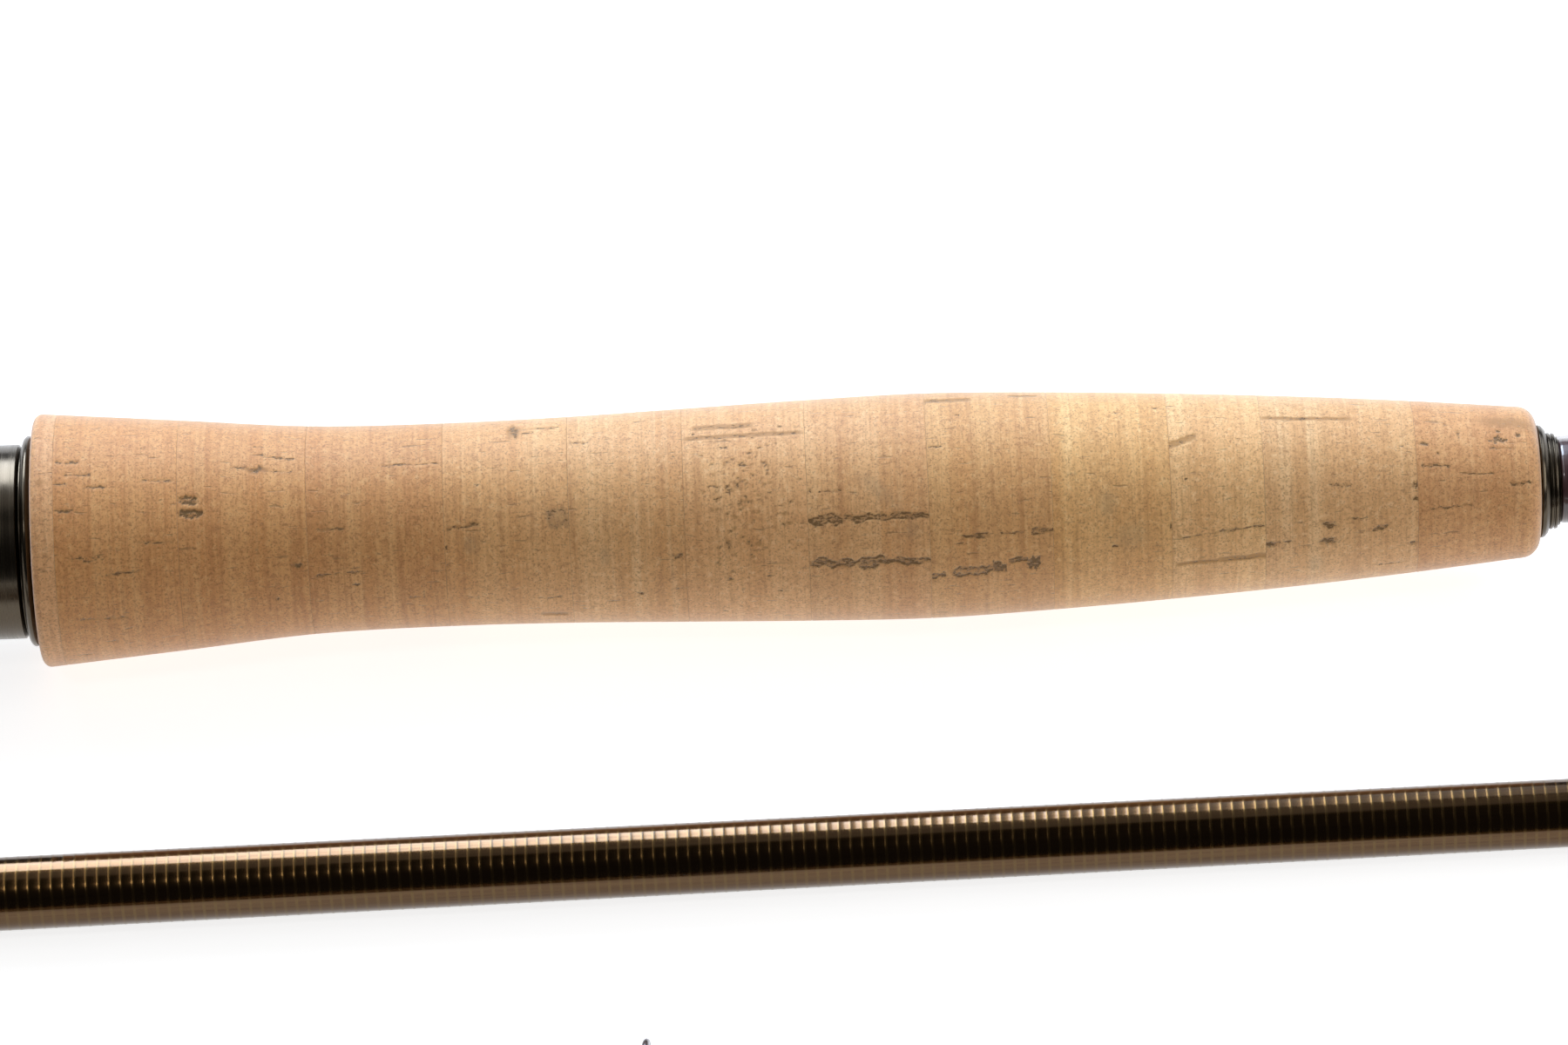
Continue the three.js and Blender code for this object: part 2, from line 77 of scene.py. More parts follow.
# Every piece is built in millimetres in its section's own frame, until MM turns it into metres: x runs
# along the section from its thick end, and z is the side that the guides stand on. Lights and camera
# are placed in metres in the row frame.
MM = 0.001
TAU = 2 * math.pi
FINE = 128                     # segments round the large turned pieces
SMALL = 64                     # and round the small ones
ROUND = 1e-7                   # two CAD vertices closer than this are one


# ---- the frame of each section ---------------------------------------------------------------------

def axes_matrix(x_axis, y_axis, z_axis, origin):
    """The matrix whose axes and origin these are."""
    rows = zip(x_axis, y_axis, z_axis, origin)
    return Matrix((*rows, (0, 0, 0, 1)))


@functools.cache
def corner_points(node):
    """The CAD node's vertices in the row frame, each place once."""
    found = np.array([v.co for v in frame["nodes"][node].data.vertices], float)
    return np.unique(np.round(found / ROUND) * ROUND, axis=0)


def end_centre(node, last):
    """The middle of a blank's thick or thin end."""
    points = corner_points(node)
    along = points[:, 0]
    edge = along.max() if last else along.min()
    return Vector(points[np.abs(along - edge) < MM].mean(axis=0))


class Section:
    """Where a rod section lies: the matrix takes its own frame to the row frame."""

    def __init__(self, body, start, along, guide_node):
        side = Vector(corner_points(guide_node).mean(axis=0)) - start
        side = (side - along * side.dot(along)).normalized()
        third = side.cross(along)
        self.body = body
        self.matrix = axes_matrix(along, third, side, start)
        self.inverse = np.array(self.matrix.inverted())

    def local(self, node):
        """The CAD node's vertices in this section's frame, in millimetres."""
        points = corner_points(node)
        return (points @ self.inverse[:3, :3].T + self.inverse[:3, 3]) / MM

    def span(self, node):
        """Where a CAD node starts and ends along the section."""
        return extent(self.local(node), 0)

    def radius(self, node):
        """A CAD node's largest radius."""
        points = self.local(node)
        return float(np.hypot(points[:, 1], points[:, 2]).max())

    @functools.cache
    def taper(self, node):
        """A blank's start and end, and its radius and its bore's radius at each."""
        points = self.local(node)
        radii = np.hypot(points[:, 1], points[:, 2])
        x0, x1 = self.span(node)
        thick, thin = radii[points[:, 0] < x0 + 1], radii[points[:, 0] > x1 - 1]
        return x0, x1, float(thick.max()), float(thin.max()), float(thick.min()), float(thin.min())

    def blank_radius(self, node, x):
        """The radius of a tapered blank at x."""
        x0, x1, thick, thin, _, _ = self.taper(node)
        return thick + (thin - thick) * (x - x0) / (x1 - x0)


def butt_frame():
    """The butt section's frame, from the axis that its lock nuts turn on."""
    turn = next(j for j in frame["record"]["behaviour"]["joints"] if j["name"] == "front_nut_turn")
    along = Vector(turn["axis"]).normalized()
    pivot = Vector(turn["pos_m"])
    back = min((Vector(p) - pivot).dot(along) for p in corner_points("butt_cap"))
    return Section("butt_section", pivot + along * back, along, "stripping_guide_insert")


def loose_frame(body, prefix):
    start = end_centre(f"{prefix}_blank", False)
    along = (end_centre(f"{prefix}_blank", True) - start).normalized()
    return Section(body, start, along, f"{prefix}_guide_1")


BUTT = butt_frame()
SECTION_2 = loose_frame("section_2", "section_2")
SECTION_3 = loose_frame("section_3", "section_3")
TIP = loose_frame("tip_section", "tip")


# ---- meshes ----------------------------------------------------------------------------------------

def rounded(points, radii, steps=5):
    """A profile with its corners rounded: radii gives a radius for the corners that have one, by index."""
    out = []
    count = len(points)
    for i, point in enumerate(points):
        radius = radii.get(i, 0)
        if not radius:
            out.append(point)
            continue
        here = Vector(point)
        back = Vector(points[i - 1]) - here
        ahead = Vector(points[(i + 1) % count]) - here
        angle = back.angle(ahead)
        reach = min(radius / math.tan(angle / 2), back.length * 0.49, ahead.length * 0.49)
        start = here + back.normalized() * reach
        end = here + ahead.normalized() * reach
        for step in range(steps + 1):
            t = step / steps
            spot = start * (1 - t) ** 2 + here * 2 * t * (1 - t) + end * t ** 2
            out.append((spot.x, spot.y))
    return out


def grid_faces(rows, columns, close_rows):
    """Quads between rows of vertices; the columns always close on themselves."""
    last = rows if close_rows else rows - 1
    r = np.arange(last)[:, None]
    c = np.arange(columns)[None, :]
    across = (c + 1) % columns
    up = (r + 1) % rows
    quads = np.stack([
        r * columns + c,
        up * columns + c,
        up * columns + across,
        r * columns + across,
    ], axis=-1)
    return quads.reshape(-1, 4)


def mesh_object(name, vertices, faces, sharp_angle, weld=0):
    """An object from arrays: vertices in millimetres, faces as lists or rows of indices. Vertices
    closer than weld become one."""
    mesh = bpy.data.meshes.new(name)
    faces = faces if isinstance(faces, list) else faces.tolist()
    mesh.from_pydata((np.asarray(vertices, float) * MM).tolist(), [], faces)
    if weld:
        shape = bmesh.new()
        shape.from_mesh(mesh)
        bmesh.ops.remove_doubles(shape, verts=shape.verts, dist=weld * MM)
        shape.to_mesh(mesh)
        shape.free()
    mesh.validate()
    mesh.shade_smooth()
    if sharp_angle:
        mesh.set_sharp_from_angle(angle=math.radians(sharp_angle))
    obj = bpy.data.objects.new(name, mesh)
    bpy.context.scene.collection.objects.link(obj)
    return obj


def turned(name, profile, segments=FINE, shape=None, sharp_angle=35, offset=0):
    """A closed (x, radius) profile turned round x. Its points run forward along the outside and back
    along the inside. shape(x, radius, turn) may change each radius; turn is measured from the guides."""
    turn = (np.arange(segments) * TAU / segments)[None, :]
    x = np.array([p[0] for p in profile], float)[:, None] + 0 * turn
    r = np.array([p[1] for p in profile], float)[:, None] + 0 * turn
    if shape:
        r = shape(x, r, turn + 0 * x)
    vertices = np.stack([x, r * np.sin(turn), offset + r * np.cos(turn)], axis=-1).reshape(-1, 3)
    faces = grid_faces(len(profile), segments, True)
    weld = 0.001 if r.min() == 0 else 0
    return mesh_object(name, vertices, faces, sharp_angle, weld)


def swept(path, widths, heights, sides, normal=(0, 1, 0), last_normal=None):
    """Vertices and faces of an oval bar along a path. The widths lie along the normal, which turns no
    more than the path makes it, and evenly on to last_normal if that is given."""
    path = np.asarray(path, float)
    count = len(path)
    along = np.gradient(path, axis=0)
    along /= np.linalg.norm(along, axis=1)[:, None]
    side = np.zeros((count, 3))
    carried = np.asarray(normal, float)
    for i in range(count):
        carried = carried - along[i] * carried.dot(along[i])
        carried /= np.linalg.norm(carried)
        side[i] = carried
    other = np.cross(along, side)
    if last_normal is not None:
        wanted = np.asarray(last_normal, float)
        twist = math.atan2(wanted.dot(other[-1]), wanted.dot(side[-1]))
        share = (np.arange(count) / (count - 1) * twist)[:, None]
        side, other = (side * np.cos(share) + other * np.sin(share),
                       other * np.cos(share) - side * np.sin(share))
    turn = (np.arange(sides) * TAU / sides)[None, :, None]
    half_widths = (np.broadcast_to(np.asarray(widths, float), (count,)) / 2)[:, None, None]
    half_heights = (np.broadcast_to(np.asarray(heights, float), (count,)) / 2)[:, None, None]
    wide = half_widths * np.cos(turn) * side[:, None, :]
    tall = half_heights * np.sin(turn) * other[:, None, :]
    vertices = (path[:, None, :] + wide + tall).reshape(-1, 3)
    faces = grid_faces(count, sides, False)[:, ::-1].tolist()
    faces.append(list(range(sides - 1, -1, -1)))
    faces.append(list(range((count - 1) * sides, count * sides)))
    return vertices, faces


def smooth_path(points, steps=6):
    """A smooth line through points."""
    points = np.asarray(points, float)
    ends = np.vstack([2 * points[0] - points[1], points, 2 * points[-1] - points[-2]])
    out = []
    for a, b, c, d in zip(ends, ends[1:], ends[2:], ends[3:]):
        for step in range(steps):
            t = step / steps
            out.append(0.5 * (2 * b + (c - a) * t + (2 * a - 5 * b + 4 * c - d) * t ** 2
                              + (3 * b - a - 3 * c + d) * t ** 3))
    out.append(points[-1])
    return np.array(out)


def from_corner(x, radius, steps):
    """Profile points, each given as how far it lies forward of x and inside the radius."""
    return [(x + ahead, radius - inside) for ahead, inside in steps]


def lines_between(points, step):
    """The same outline with its straight stretches cut into lengths of about step."""
    out = []
    for (x0, r0), (x1, r1) in zip(points, points[1:]):
        count = max(1, round(math.hypot(x1 - x0, r1 - r0) / step))
        out += [(x0 + (x1 - x0) * i / count, r0 + (r1 - r0) * i / count) for i in range(count)]
    return out + [points[-1]]


def together(name, parts):
    """One object from several (vertices, faces) pairs."""
    vertices, faces, start = [], [], 0
    for points, quads in parts:
        vertices.append(points)
        faces += [[index + start for index in face] for face in quads]
        start += len(points)
    return mesh_object(name, np.concatenate(vertices), faces, 40)


def extent(points, axis):
    """The least and the greatest of the points along an axis."""
    return float(points[:, axis].min()), float(points[:, axis].max())


def leaning_ring(at, height, radius, lean, first, last, count):
    """Points round an upright ring that leans forward. Angles are from its lowest point."""
    points = []
    for t in np.linspace(first, last, count):
        up = -radius * math.cos(t)
        points.append((at + up * math.sin(lean), radius * math.sin(t), height + up * math.cos(lean)))
    return points


def float_attribute(obj, name, values):
    attribute = obj.data.attributes.new(name, "FLOAT", "POINT")
    attribute.data.foreach_set("value", np.asarray(values, np.float32))


def remember_place(obj):
    """Keeps where each vertex is in its section, for the materials."""
    mesh = obj.data
    places = np.zeros(len(mesh.vertices) * 3, np.float32)
    mesh.vertices.foreach_get("co", places)
    mesh.attributes.new("section_place", "FLOAT_VECTOR", "POINT").data.foreach_set("vector", places)


def place(obj, section, material, slot, nodes, body=None):
    """Puts a finished piece in its section, on its body, in place of its CAD nodes."""
    remember_place(obj)
    obj.data.transform(section.matrix)
    obj.data.materials.append(material)
    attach(obj, body or section.body)
    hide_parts(*nodes)


# ---- materials -------------------------------------------------------------------------------------

class Nodes:
    """A short way to write a material's node tree."""

    def __init__(self, name, **shader):
        self.material = bpy.data.materials.new(name)
        self.material.use_nodes = True
        self.tree = self.material.node_tree
        self.shader = self.tree.nodes["Principled BSDF"]
        for socket, value in shader.items():
            self.shader.inputs[socket.replace("_", " ")].default_value = value
        place = self.node("ShaderNodeAttribute", attribute_name="section_place")
        self.coordinates = place.outputs["Vector"]

    def link(self, source, target):
        self.tree.links.new(source, target)

    def give(self, socket, source):
        self.link(source, self.shader.inputs[socket])

    def node(self, kind, inputs=None, **settings):
        made = self.tree.nodes.new(kind)
        for key, value in settings.items():
            setattr(made, key, value)
        for key, value in (inputs or {}).items():
            socket = made.inputs[key]
            if isinstance(value, bpy.types.NodeSocket):
                self.link(value, socket)
            else:
                socket.default_value = value
        return made

    def stretched(self, scale):
        """Places in the section times a scale along each axis, in features for each metre."""
        inputs = {"Vector": self.coordinates, "Scale": scale}
        return self.node("ShaderNodeMapping", inputs, vector_type="POINT").outputs["Vector"]

    def noise(self, vector, detail=3.0, roughness=0.5, distortion=0.0):
        inputs = {"Vector": vector, "Scale": 1.0, "Detail": detail,
                  "Roughness": roughness, "Distortion": distortion}
        return self.node("ShaderNodeTexNoise", inputs).outputs["Fac"]

    def spread(self, value, low, high, out_low=0.0, out_high=1.0, smooth=False):
        inputs = {"Value": value, "From Min": low, "From Max": high,
                  "To Min": out_low, "To Max": out_high}
        kind = "SMOOTHSTEP" if smooth else "LINEAR"
        made = self.node("ShaderNodeMapRange", inputs, clamp=True, interpolation_type=kind)
        return made.outputs["Result"]

    def maths(self, operation, a, b):
        return self.node("ShaderNodeMath", {0: a, 1: b}, operation=operation).outputs[0]

    def attribute(self, name):
        return self.node("ShaderNodeAttribute", attribute_name=name).outputs["Fac"]

    def mix(self, share, a, b, blend="MIX"):
        made = self.node("ShaderNodeMix", data_type="RGBA", blend_type=blend)
        for index, value in ((0, share), (6, a), (7, b)):
            socket = made.inputs[index]
            if isinstance(value, bpy.types.NodeSocket):
                self.link(value, socket)
            elif index:
                socket.default_value = (*value, 1)
            else:
                socket.default_value = value
        return made.outputs[2]

    def bump(self, height, strength, distance, normal=None):
        inputs = {"Height": height, "Strength": strength, "Distance": distance}
        if normal is not None:
            inputs["Normal"] = normal
        return self.node("ShaderNodeBump", inputs).outputs["Normal"]


def cork_material():
    """Sanded cork: growth lines round the grip, speckle, stains, and pits and cracks along it."""
    m = Nodes("cork", Roughness=0.6, Specular_IOR_Level=0.45, Sheen_Weight=0.55, Sheen_Roughness=0.4)
    tint = m.node("ShaderNodeAttribute", attribute_name="ring_tint").outputs["Vector"]
    coordinates = m.node("ShaderNodeVectorMath", {0: m.coordinates, 1: tint}).outputs[0]

    def along(x_scale, round_scale):
        inputs = {0: coordinates, 1: (x_scale, round_scale, round_scale)}
        return m.node("ShaderNodeVectorMath", inputs, operation="MULTIPLY").outputs[0]

    lines = m.noise(along(1250, 32), detail=2.5, roughness=0.6, distortion=0.3)
    hairlines = m.noise(along(3600, 90), detail=2.0, roughness=0.6, distortion=0.2)
    bands = m.noise(along(300, 12), detail=2.0, distortion=0.4)
    clouds = m.noise(along(85, 85), detail=3.0)
    speckle = m.noise(along(4200, 4200), detail=2.0, roughness=0.75)
    grain = m.noise(along(1500, 1500), detail=4.0, roughness=0.75)
    dashes = m.noise(along(420, 2600), detail=2.0, roughness=0.55)
    ragged = m.noise(along(1500, 3400), detail=4.0, roughness=0.8)

    base = m.mix(m.spread(bands, 0.32, 0.68), (0.84, 0.50, 0.22), (0.74, 0.39, 0.15))
    for pattern, low, high, out_low, out_high, colour in (
        (lines, 0.5, 0.72, 0, 0.55, (0.57, 0.275, 0.10)),
        (lines, 0.3, 0.45, 0.45, 0, (0.94, 0.64, 0.32)),
        (hairlines, 0.5, 0.7, 0, 0.4, (0.48, 0.225, 0.08)),
        (clouds, 0.35, 0.7, 0, 0.3, (0.70, 0.345, 0.145)),
        (grain, 0.5, 0.68, 0, 0.5, (0.46, 0.215, 0.08)),
        (grain, 0.33, 0.46, 0.45, 0, (0.92, 0.64, 0.33)),
        (speckle, 0.51, 0.66, 0, 0.7, (0.38, 0.175, 0.065)),
    ):
        base = m.mix(m.spread(pattern, low, high, out_low, out_high), base, colour)
    base = m.mix(m.attribute("cool_stain"), base, (0.38, 0.265, 0.15))
    base = m.mix(m.attribute("ochre_stain"), base, (0.47, 0.235, 0.075))
    base = m.mix(1.0, base, tint, "MULTIPLY")

    uneven = m.maths("MULTIPLY", m.maths("SUBTRACT", ragged, 0.5), 2.6)
    pits = m.maths("ADD", m.attribute("crack"), uneven)
    marked = m.spread(m.attribute("crack"), 0.02, 0.2)
    hole = m.maths("MULTIPLY", m.spread(pits, 0.5, 0.72, smooth=True), marked)
    halo = m.spread(m.attribute("crack"), 0.05, 0.7, 0, 0.5)
    dash = m.spread(dashes, 0.67, 0.73, 0, 0.5)
    base = m.mix(halo, base, (0.42, 0.215, 0.07))
    base = m.mix(m.maths("MAXIMUM", hole, dash), base, (0.22, 0.118, 0.036))
    base = m.mix(m.attribute("seam"), base, (0.26, 0.13, 0.045))
    m.give("Base Color", base)

    height = m.maths("SUBTRACT", m.maths("MULTIPLY", grain, 0.5), m.maths("MAXIMUM", hole, dash))
    height = m.maths("ADD", height, m.maths("MULTIPLY", speckle, 0.35))
    m.give("Normal", m.bump(height, 0.6, 0.00012))
    return m.material


def metal_material(name, colour, roughness, line_scale=9000):
    """Turned and anodised metal: fine rings left by the tool, and a little unevenness."""
    m = Nodes(name, Metallic=1.0)
    rings = m.noise(m.stretched((line_scale, 25, 25)), detail=2.0)
    cloud = m.noise(m.stretched((220, 220, 220)), detail=3.0)
    worn = m.mix(m.spread(cloud, 0.3, 0.7, 0, 0.3), colour, tuple(min(1, c * 1.35) for c in colour))
    m.give("Base Color", worn)
    m.give("Roughness", m.maths("ADD", m.spread(rings, 0.3, 0.7, -0.05, 0.05),
                                m.spread(cloud, 0.3, 0.7, roughness - 0.02, roughness + 0.04)))
    m.give("Normal", m.bump(rings, 0.12, 0.00002))
    return m.material


def blank_material():
    """Bronze-brown lacquer over wound fibre, under a clear coat, with a painted highlight of lighter gold
    on the ridge crests.
    """
    m = Nodes("blank", Metallic=1.0, Coat_Weight=0.35, Coat_Roughness=0.08)
    fibres = m.noise(m.stretched((60, 4200, 4200)), detail=2.0)
    flecks = m.noise(m.stretched((2600, 2600, 2600)), detail=2.0, roughness=0.7)
    base = m.mix(m.spread(fibres, 0.35, 0.65), (0.078, 0.039, 0.014), (0.098, 0.053, 0.020))
    base = m.mix(m.spread(flecks, 0.6, 0.75, 0, 0.2), base, (0.13, 0.07, 0.03))
    ridge = m.attribute("ridge")
    # Painted highlight: the ridge crests are coloured a lighter gold so that the glints along them show
    # brighter.
    base = m.mix(m.spread(ridge, 0, 0.3), base, (0.108, 0.062, 0.021))
    m.give("Base Color", base)
    m.give("Roughness", m.spread(ridge, 0, 0.3, 0.18, 0.25))
    raised = m.bump(ridge, 1.0, 0.00001)
    m.give("Normal", m.bump(fibres, 0.05, 0.00002, raised))
    return m.material


def thread_material():
    """Dark thread wound close, seen through epoxy."""
    m = Nodes("thread_wrap", Roughness=0.35, Coat_Weight=1.0, Coat_Roughness=0.03)
    turns = m.node("ShaderNodeTexWave", {"Vector": m.coordinates, "Scale": 1750.0, "Distortion": 0.15,
                                         "Detail": 1.0}, wave_type="BANDS", bands_direction="X")
    sheen = m.noise(m.stretched((900, 130, 130)), detail=2.0)
    base = m.mix(turns.outputs["Fac"], (0.012, 0.005, 0.006), (0.075, 0.028, 0.026))
    base = m.mix(m.spread(sheen, 0.4, 0.7, 0, 0.4), base, (0.09, 0.04, 0.045))
    m.give("Base Color", base)
    m.give("Normal", m.bump(turns.outputs["Fac"], 0.25, 0.00003))
    return m.material


def wood_material():
    """Oiled burl: swirled grain with dark eyes."""
    m = Nodes("insert_wood", Roughness=0.32, Coat_Weight=0.5, Coat_Roughness=0.12)
    swirl = m.noise(m.stretched((70, 160, 160)), detail=4.0, distortion=2.2)
    pores = m.noise(m.stretched((400, 2600, 2600)), detail=2.0)
    base = m.mix(m.spread(swirl, 0.3, 0.7), (0.17, 0.07, 0.03), (0.045, 0.017, 0.008))
    base = m.mix(m.spread(pores, 0.6, 0.75, 0, 0.6), base, (0.02, 0.008, 0.005))
    m.give("Base Color", base)
    m.give("Normal", m.bump(pores, 0.15, 0.00004))
    return m.material


def ceramic_material():
    m = Nodes("guide_ring", Roughness=0.08, Specular_IOR_Level=0.7)
    cloud = m.noise(m.stretched((900, 900, 900)), detail=3.0)
    m.give("Base Color", m.mix(cloud, (0.016, 0.016, 0.018), (0.035, 0.035, 0.04)))
    return m.material


CORK = cork_material()
GUNMETAL = metal_material("gunmetal", (0.086, 0.069, 0.049), 0.24)
WIRE = metal_material("guide_wire", (0.22, 0.205, 0.225), 0.22, 4000)
BLANK = blank_material()
THREAD_WRAP = thread_material()
WOOD = wood_material()
CERAMIC = ceramic_material()


# ---- reel seat -------------------------------------------------------------------------------------

FLAT_HEIGHT = 5.3              # the milled flat that the reel foot sits on, above the axis
THREAD = {"pitch": 1.27, "depth": 0.42}
POCKET = {"bore": 8.3, "radius": 9.25, "half_width": 6.8}
SEAT = {"radius": 8.0, "bore": 4.65}
GLUE_LINE = 0.01               # between pieces glued end to end


def flatted(x, r, turn):
    """Cuts the guide side of a round bar down to the flat."""
    up = np.cos(turn)
    level = np.where(up > 0.01, FLAT_HEIGHT / np.maximum(up, 0.01), np.inf)
    return np.where(r > FLAT_HEIGHT, np.minimum(r, level), r)


def pocketed(x, r, turn):
    """Where the profile reaches the pocket's radius, only the guide side is that deep."""
    across = POCKET["half_width"] / np.maximum(np.abs(np.sin(turn)), 0.01)
    deep = np.where(np.cos(turn) > 0, np.clip(across, POCKET["bore"], POCKET["radius"]), POCKET["bore"])
    return np.where(np.isclose(r, POCKET["radius"]), deep, r)


def add_butt_cap():
    x0, x1 = BUTT.span("butt_cap")
    radius = BUTT.radius("butt_cap")
    wall, dish, floor = 8.2, 0.35, 2.6
    outside = from_corner(x0, radius, [(dish, radius), (dish, 3.2), (0, 2.6), (0, 0.6), (1, 0), (3.6, 0),
                                       (3.8, 0.3), (4.3, 0.3), (4.5, 0)])
    profile = rounded(
        outside + [(x1, radius), (x1, wall), (x0 + floor, wall), (x0 + floor, 0)],
        {1: 0.4, 2: 0.3, 3: 0.7, 4: 0.9, 5: 0.12, 8: 0.12, 9: 0.35, 10: 0.2, 11: 0.3})
    obj = turned("butt_end_cap", profile)
    place(obj, BUTT, GUNMETAL, "seat_metal", ["butt_cap"])


def add_barrel():
    x0, x1 = BUTT.span("seat_barrel")
    radius, bore = SEAT["radius"], SEAT["bore"]
    plain_end = BUTT.span("butt_cap")[1] - 0.5
    outside = [(x0, radius - 0.3), (x0 + 0.3, radius), (plain_end, radius)]
    step = THREAD["pitch"] / 8
    count = int((x1 - 0.5 - plain_end) / step)
    outside += [(plain_end + step * (i + 1), radius) for i in range(count)]
    outside += [(x1, radius - 0.4)]

    def threaded(x, r, turn):
        phase = x / THREAD["pitch"] - turn / TAU
        valley = np.abs(phase - np.round(phase)) * 2
        depth = THREAD["depth"] * np.clip((valley - 0.25) / 0.5, 0, 1)
        runs = np.clip((x - plain_end) / THREAD["pitch"], 0, 1)
        return flatted(x, np.where(r > radius - 0.1, r - depth * runs, r), turn)

    obj = turned("seat_screw_barrel", outside + [(x1, bore), (x0, bore)], 96, threaded)
    place(obj, BUTT, GUNMETAL, "seat_metal", ["seat_barrel"])


def add_insert():
    x0, x1 = BUTT.span("seat_barrel")[1] + GLUE_LINE, BUTT.span("seat_insert")[1]
    radius, bore, edge = SEAT["radius"], SEAT["bore"], 0.12
    outside = lines_between([(x0 + edge, radius), (x1 - edge, radius)], 1.5)
    profile = [(x0, radius - edge)] + outside + [(x1, radius - edge), (x1, bore), (x0, bore)]
    obj = turned("seat_wood_insert", profile, 96, flatted)
    place(obj, BUTT, WOOD, "insert_wood", ["seat_insert"])


def add_lock_nut(node, name):
    """A threaded ring with a knurled land between two polished edges."""
    x0, x1 = BUTT.span(node)
    radius, bore, ribs, rib_depth = BUTT.radius(node), 8.2, 54, 0.28
    land0, land1 = x0 + 1.15, x1 - 1.15
    outside = rounded(
        from_corner(x0, radius, [(0, 0.7), (0.5, 0.1)])
        + from_corner(land0, radius, [(-0.3, 0.1), (-0.15, 0.45), (0, 0.45)]), {1: 0.3})
    outside += lines_between(
        from_corner(land0, radius, [(0.05, 0.2), (0.3, 0)])
        + from_corner(land1, radius, [(-0.3, 0), (-0.05, 0.2)]), 0.4)
    outside += rounded(
        from_corner(land1, radius, [(0, 0.45), (0.15, 0.45), (0.3, 0.1)])
        + from_corner(x1, radius, [(-0.5, 0.1), (0, 0.7)]), {3: 0.3})

    def knurled(x, r, turn):
        rib = np.abs(np.sin(turn * ribs / 2)) ** 0.7
        on_land = (x > land0) & (x < land1) & (r > bore + 0.5)
        return np.where(on_land, r - rib_depth * (1 - rib), r)

    obj = turned(name, outside + [(x1, bore), (x0, bore)], ribs * 8, knurled)
    place(obj, BUTT, GUNMETAL, "seat_metal", [node], node)


def add_sliding_hood():
    x0, x1 = BUTT.span("sliding_hood")
    radius = BUTT.radius("sliding_hood")
    pocket = x1 - 11.5
    bore, deep = POCKET["bore"], POCKET["radius"]
    outside = rounded(
        from_corner(x0, radius, [(0, 0.6), (0.6, 0), (2.2, 0), (2.35, 0.22), (2.75, 0.22), (2.9, 0)])
        + from_corner(x1, radius, [(-0.6, 0), (0, 0.35)]), {1: 0.4, 6: 0.5})
    inside = [(x1, deep), (pocket, deep), (pocket, bore), (x0, bore)]
    obj = turned("reel_hood_sliding", outside + inside, shape=pocketed)
    place(obj, BUTT, GUNMETAL, "seat_metal", ["sliding_hood"], "sliding_hood")


def add_fixed_hood():
    x0, x1 = BUTT.span("fixed_hood")
    radius = BUTT.radius("fixed_hood")
    pocket, back_bore, deep = x0 + 10.5, 4.8, POCKET["radius"]
    outside = rounded(
        from_corner(x0, radius, [(0, 0.35), (0.6, 0), (2.4, 0), (2.55, 0.22), (2.95, 0.22), (3.1, 0)])
        + from_corner(x1, radius, [(-0.32, 0), (0, 0.42)]), {1: 0.5, 6: 0.12})
    inside = [(x1, back_bore), (pocket, back_bore), (pocket, deep), (x0, deep)]
    obj = turned("reel_hood_fixed", outside + inside, 192, pocketed)
    place(obj, BUTT, GUNMETAL, "seat_metal", ["fixed_hood"])


def add_grip_ring():
    """The half-round ring between the hood and the cork."""
    x0, x1 = BUTT.span("grip_ring")
    radius, bore, neck = BUTT.radius("grip_ring"), 4.6, 9.75
    middle, half = x0 + 0.68, 0.6
    bead = [(middle - half * math.cos(t), neck + (radius - neck) * math.sin(t))
            for t in np.linspace(0, math.pi, 15)]
    profile = [(x0, neck)] + bead + [(x1, neck), (x1, bore), (x0, bore)]
    obj = turned("hood_ring", profile, 192)
    place(obj, BUTT, GUNMETAL, "seat_metal", ["grip_ring"])


# ---- grip ------------------------------------------------------------------------------------------

CORK_RINGS = 13
CORK_STEP = 0.18               # between the rows of a cork ring's surface
CORK_SEGMENTS = 450
SEAM_WIDTH = 0.07
SEAM_DEPTH = 0.02
REAR_ROUNDING = 0.9
FRONT_ROUNDING = 1.7
CORK_SEED = 700                # each ring's number is added to it
SPECKLED_RING = 7
FLECKS = 110
USUAL_RING = 12.7              # the ring length that the counts of stray marks are for
LONG_STRAYS = 9
SHORT_STRAYS = 7
FACING = math.radians(-123)    # the side of the grip that the marks' angles are measured from

# What each ring's colour is multiplied by: the rings nearest the reel are browner.
RING_TINTS = [
    (1.02, 0.96, 0.97), (0.95, 0.83, 0.69), (0.92, 0.80, 0.66), (0.93, 0.83, 0.71), (1.02, 0.98, 0.91),
    (1.05, 1.05, 1.04), (1.07, 1.06, 1.06), (1.00, 0.97, 0.94), (1.00, 0.98, 0.90), (1.09, 1.11, 1.01),
    (1.15, 1.21, 1.22), (1.05, 1.08, 1.11), (0.94, 0.87, 0.82),
]

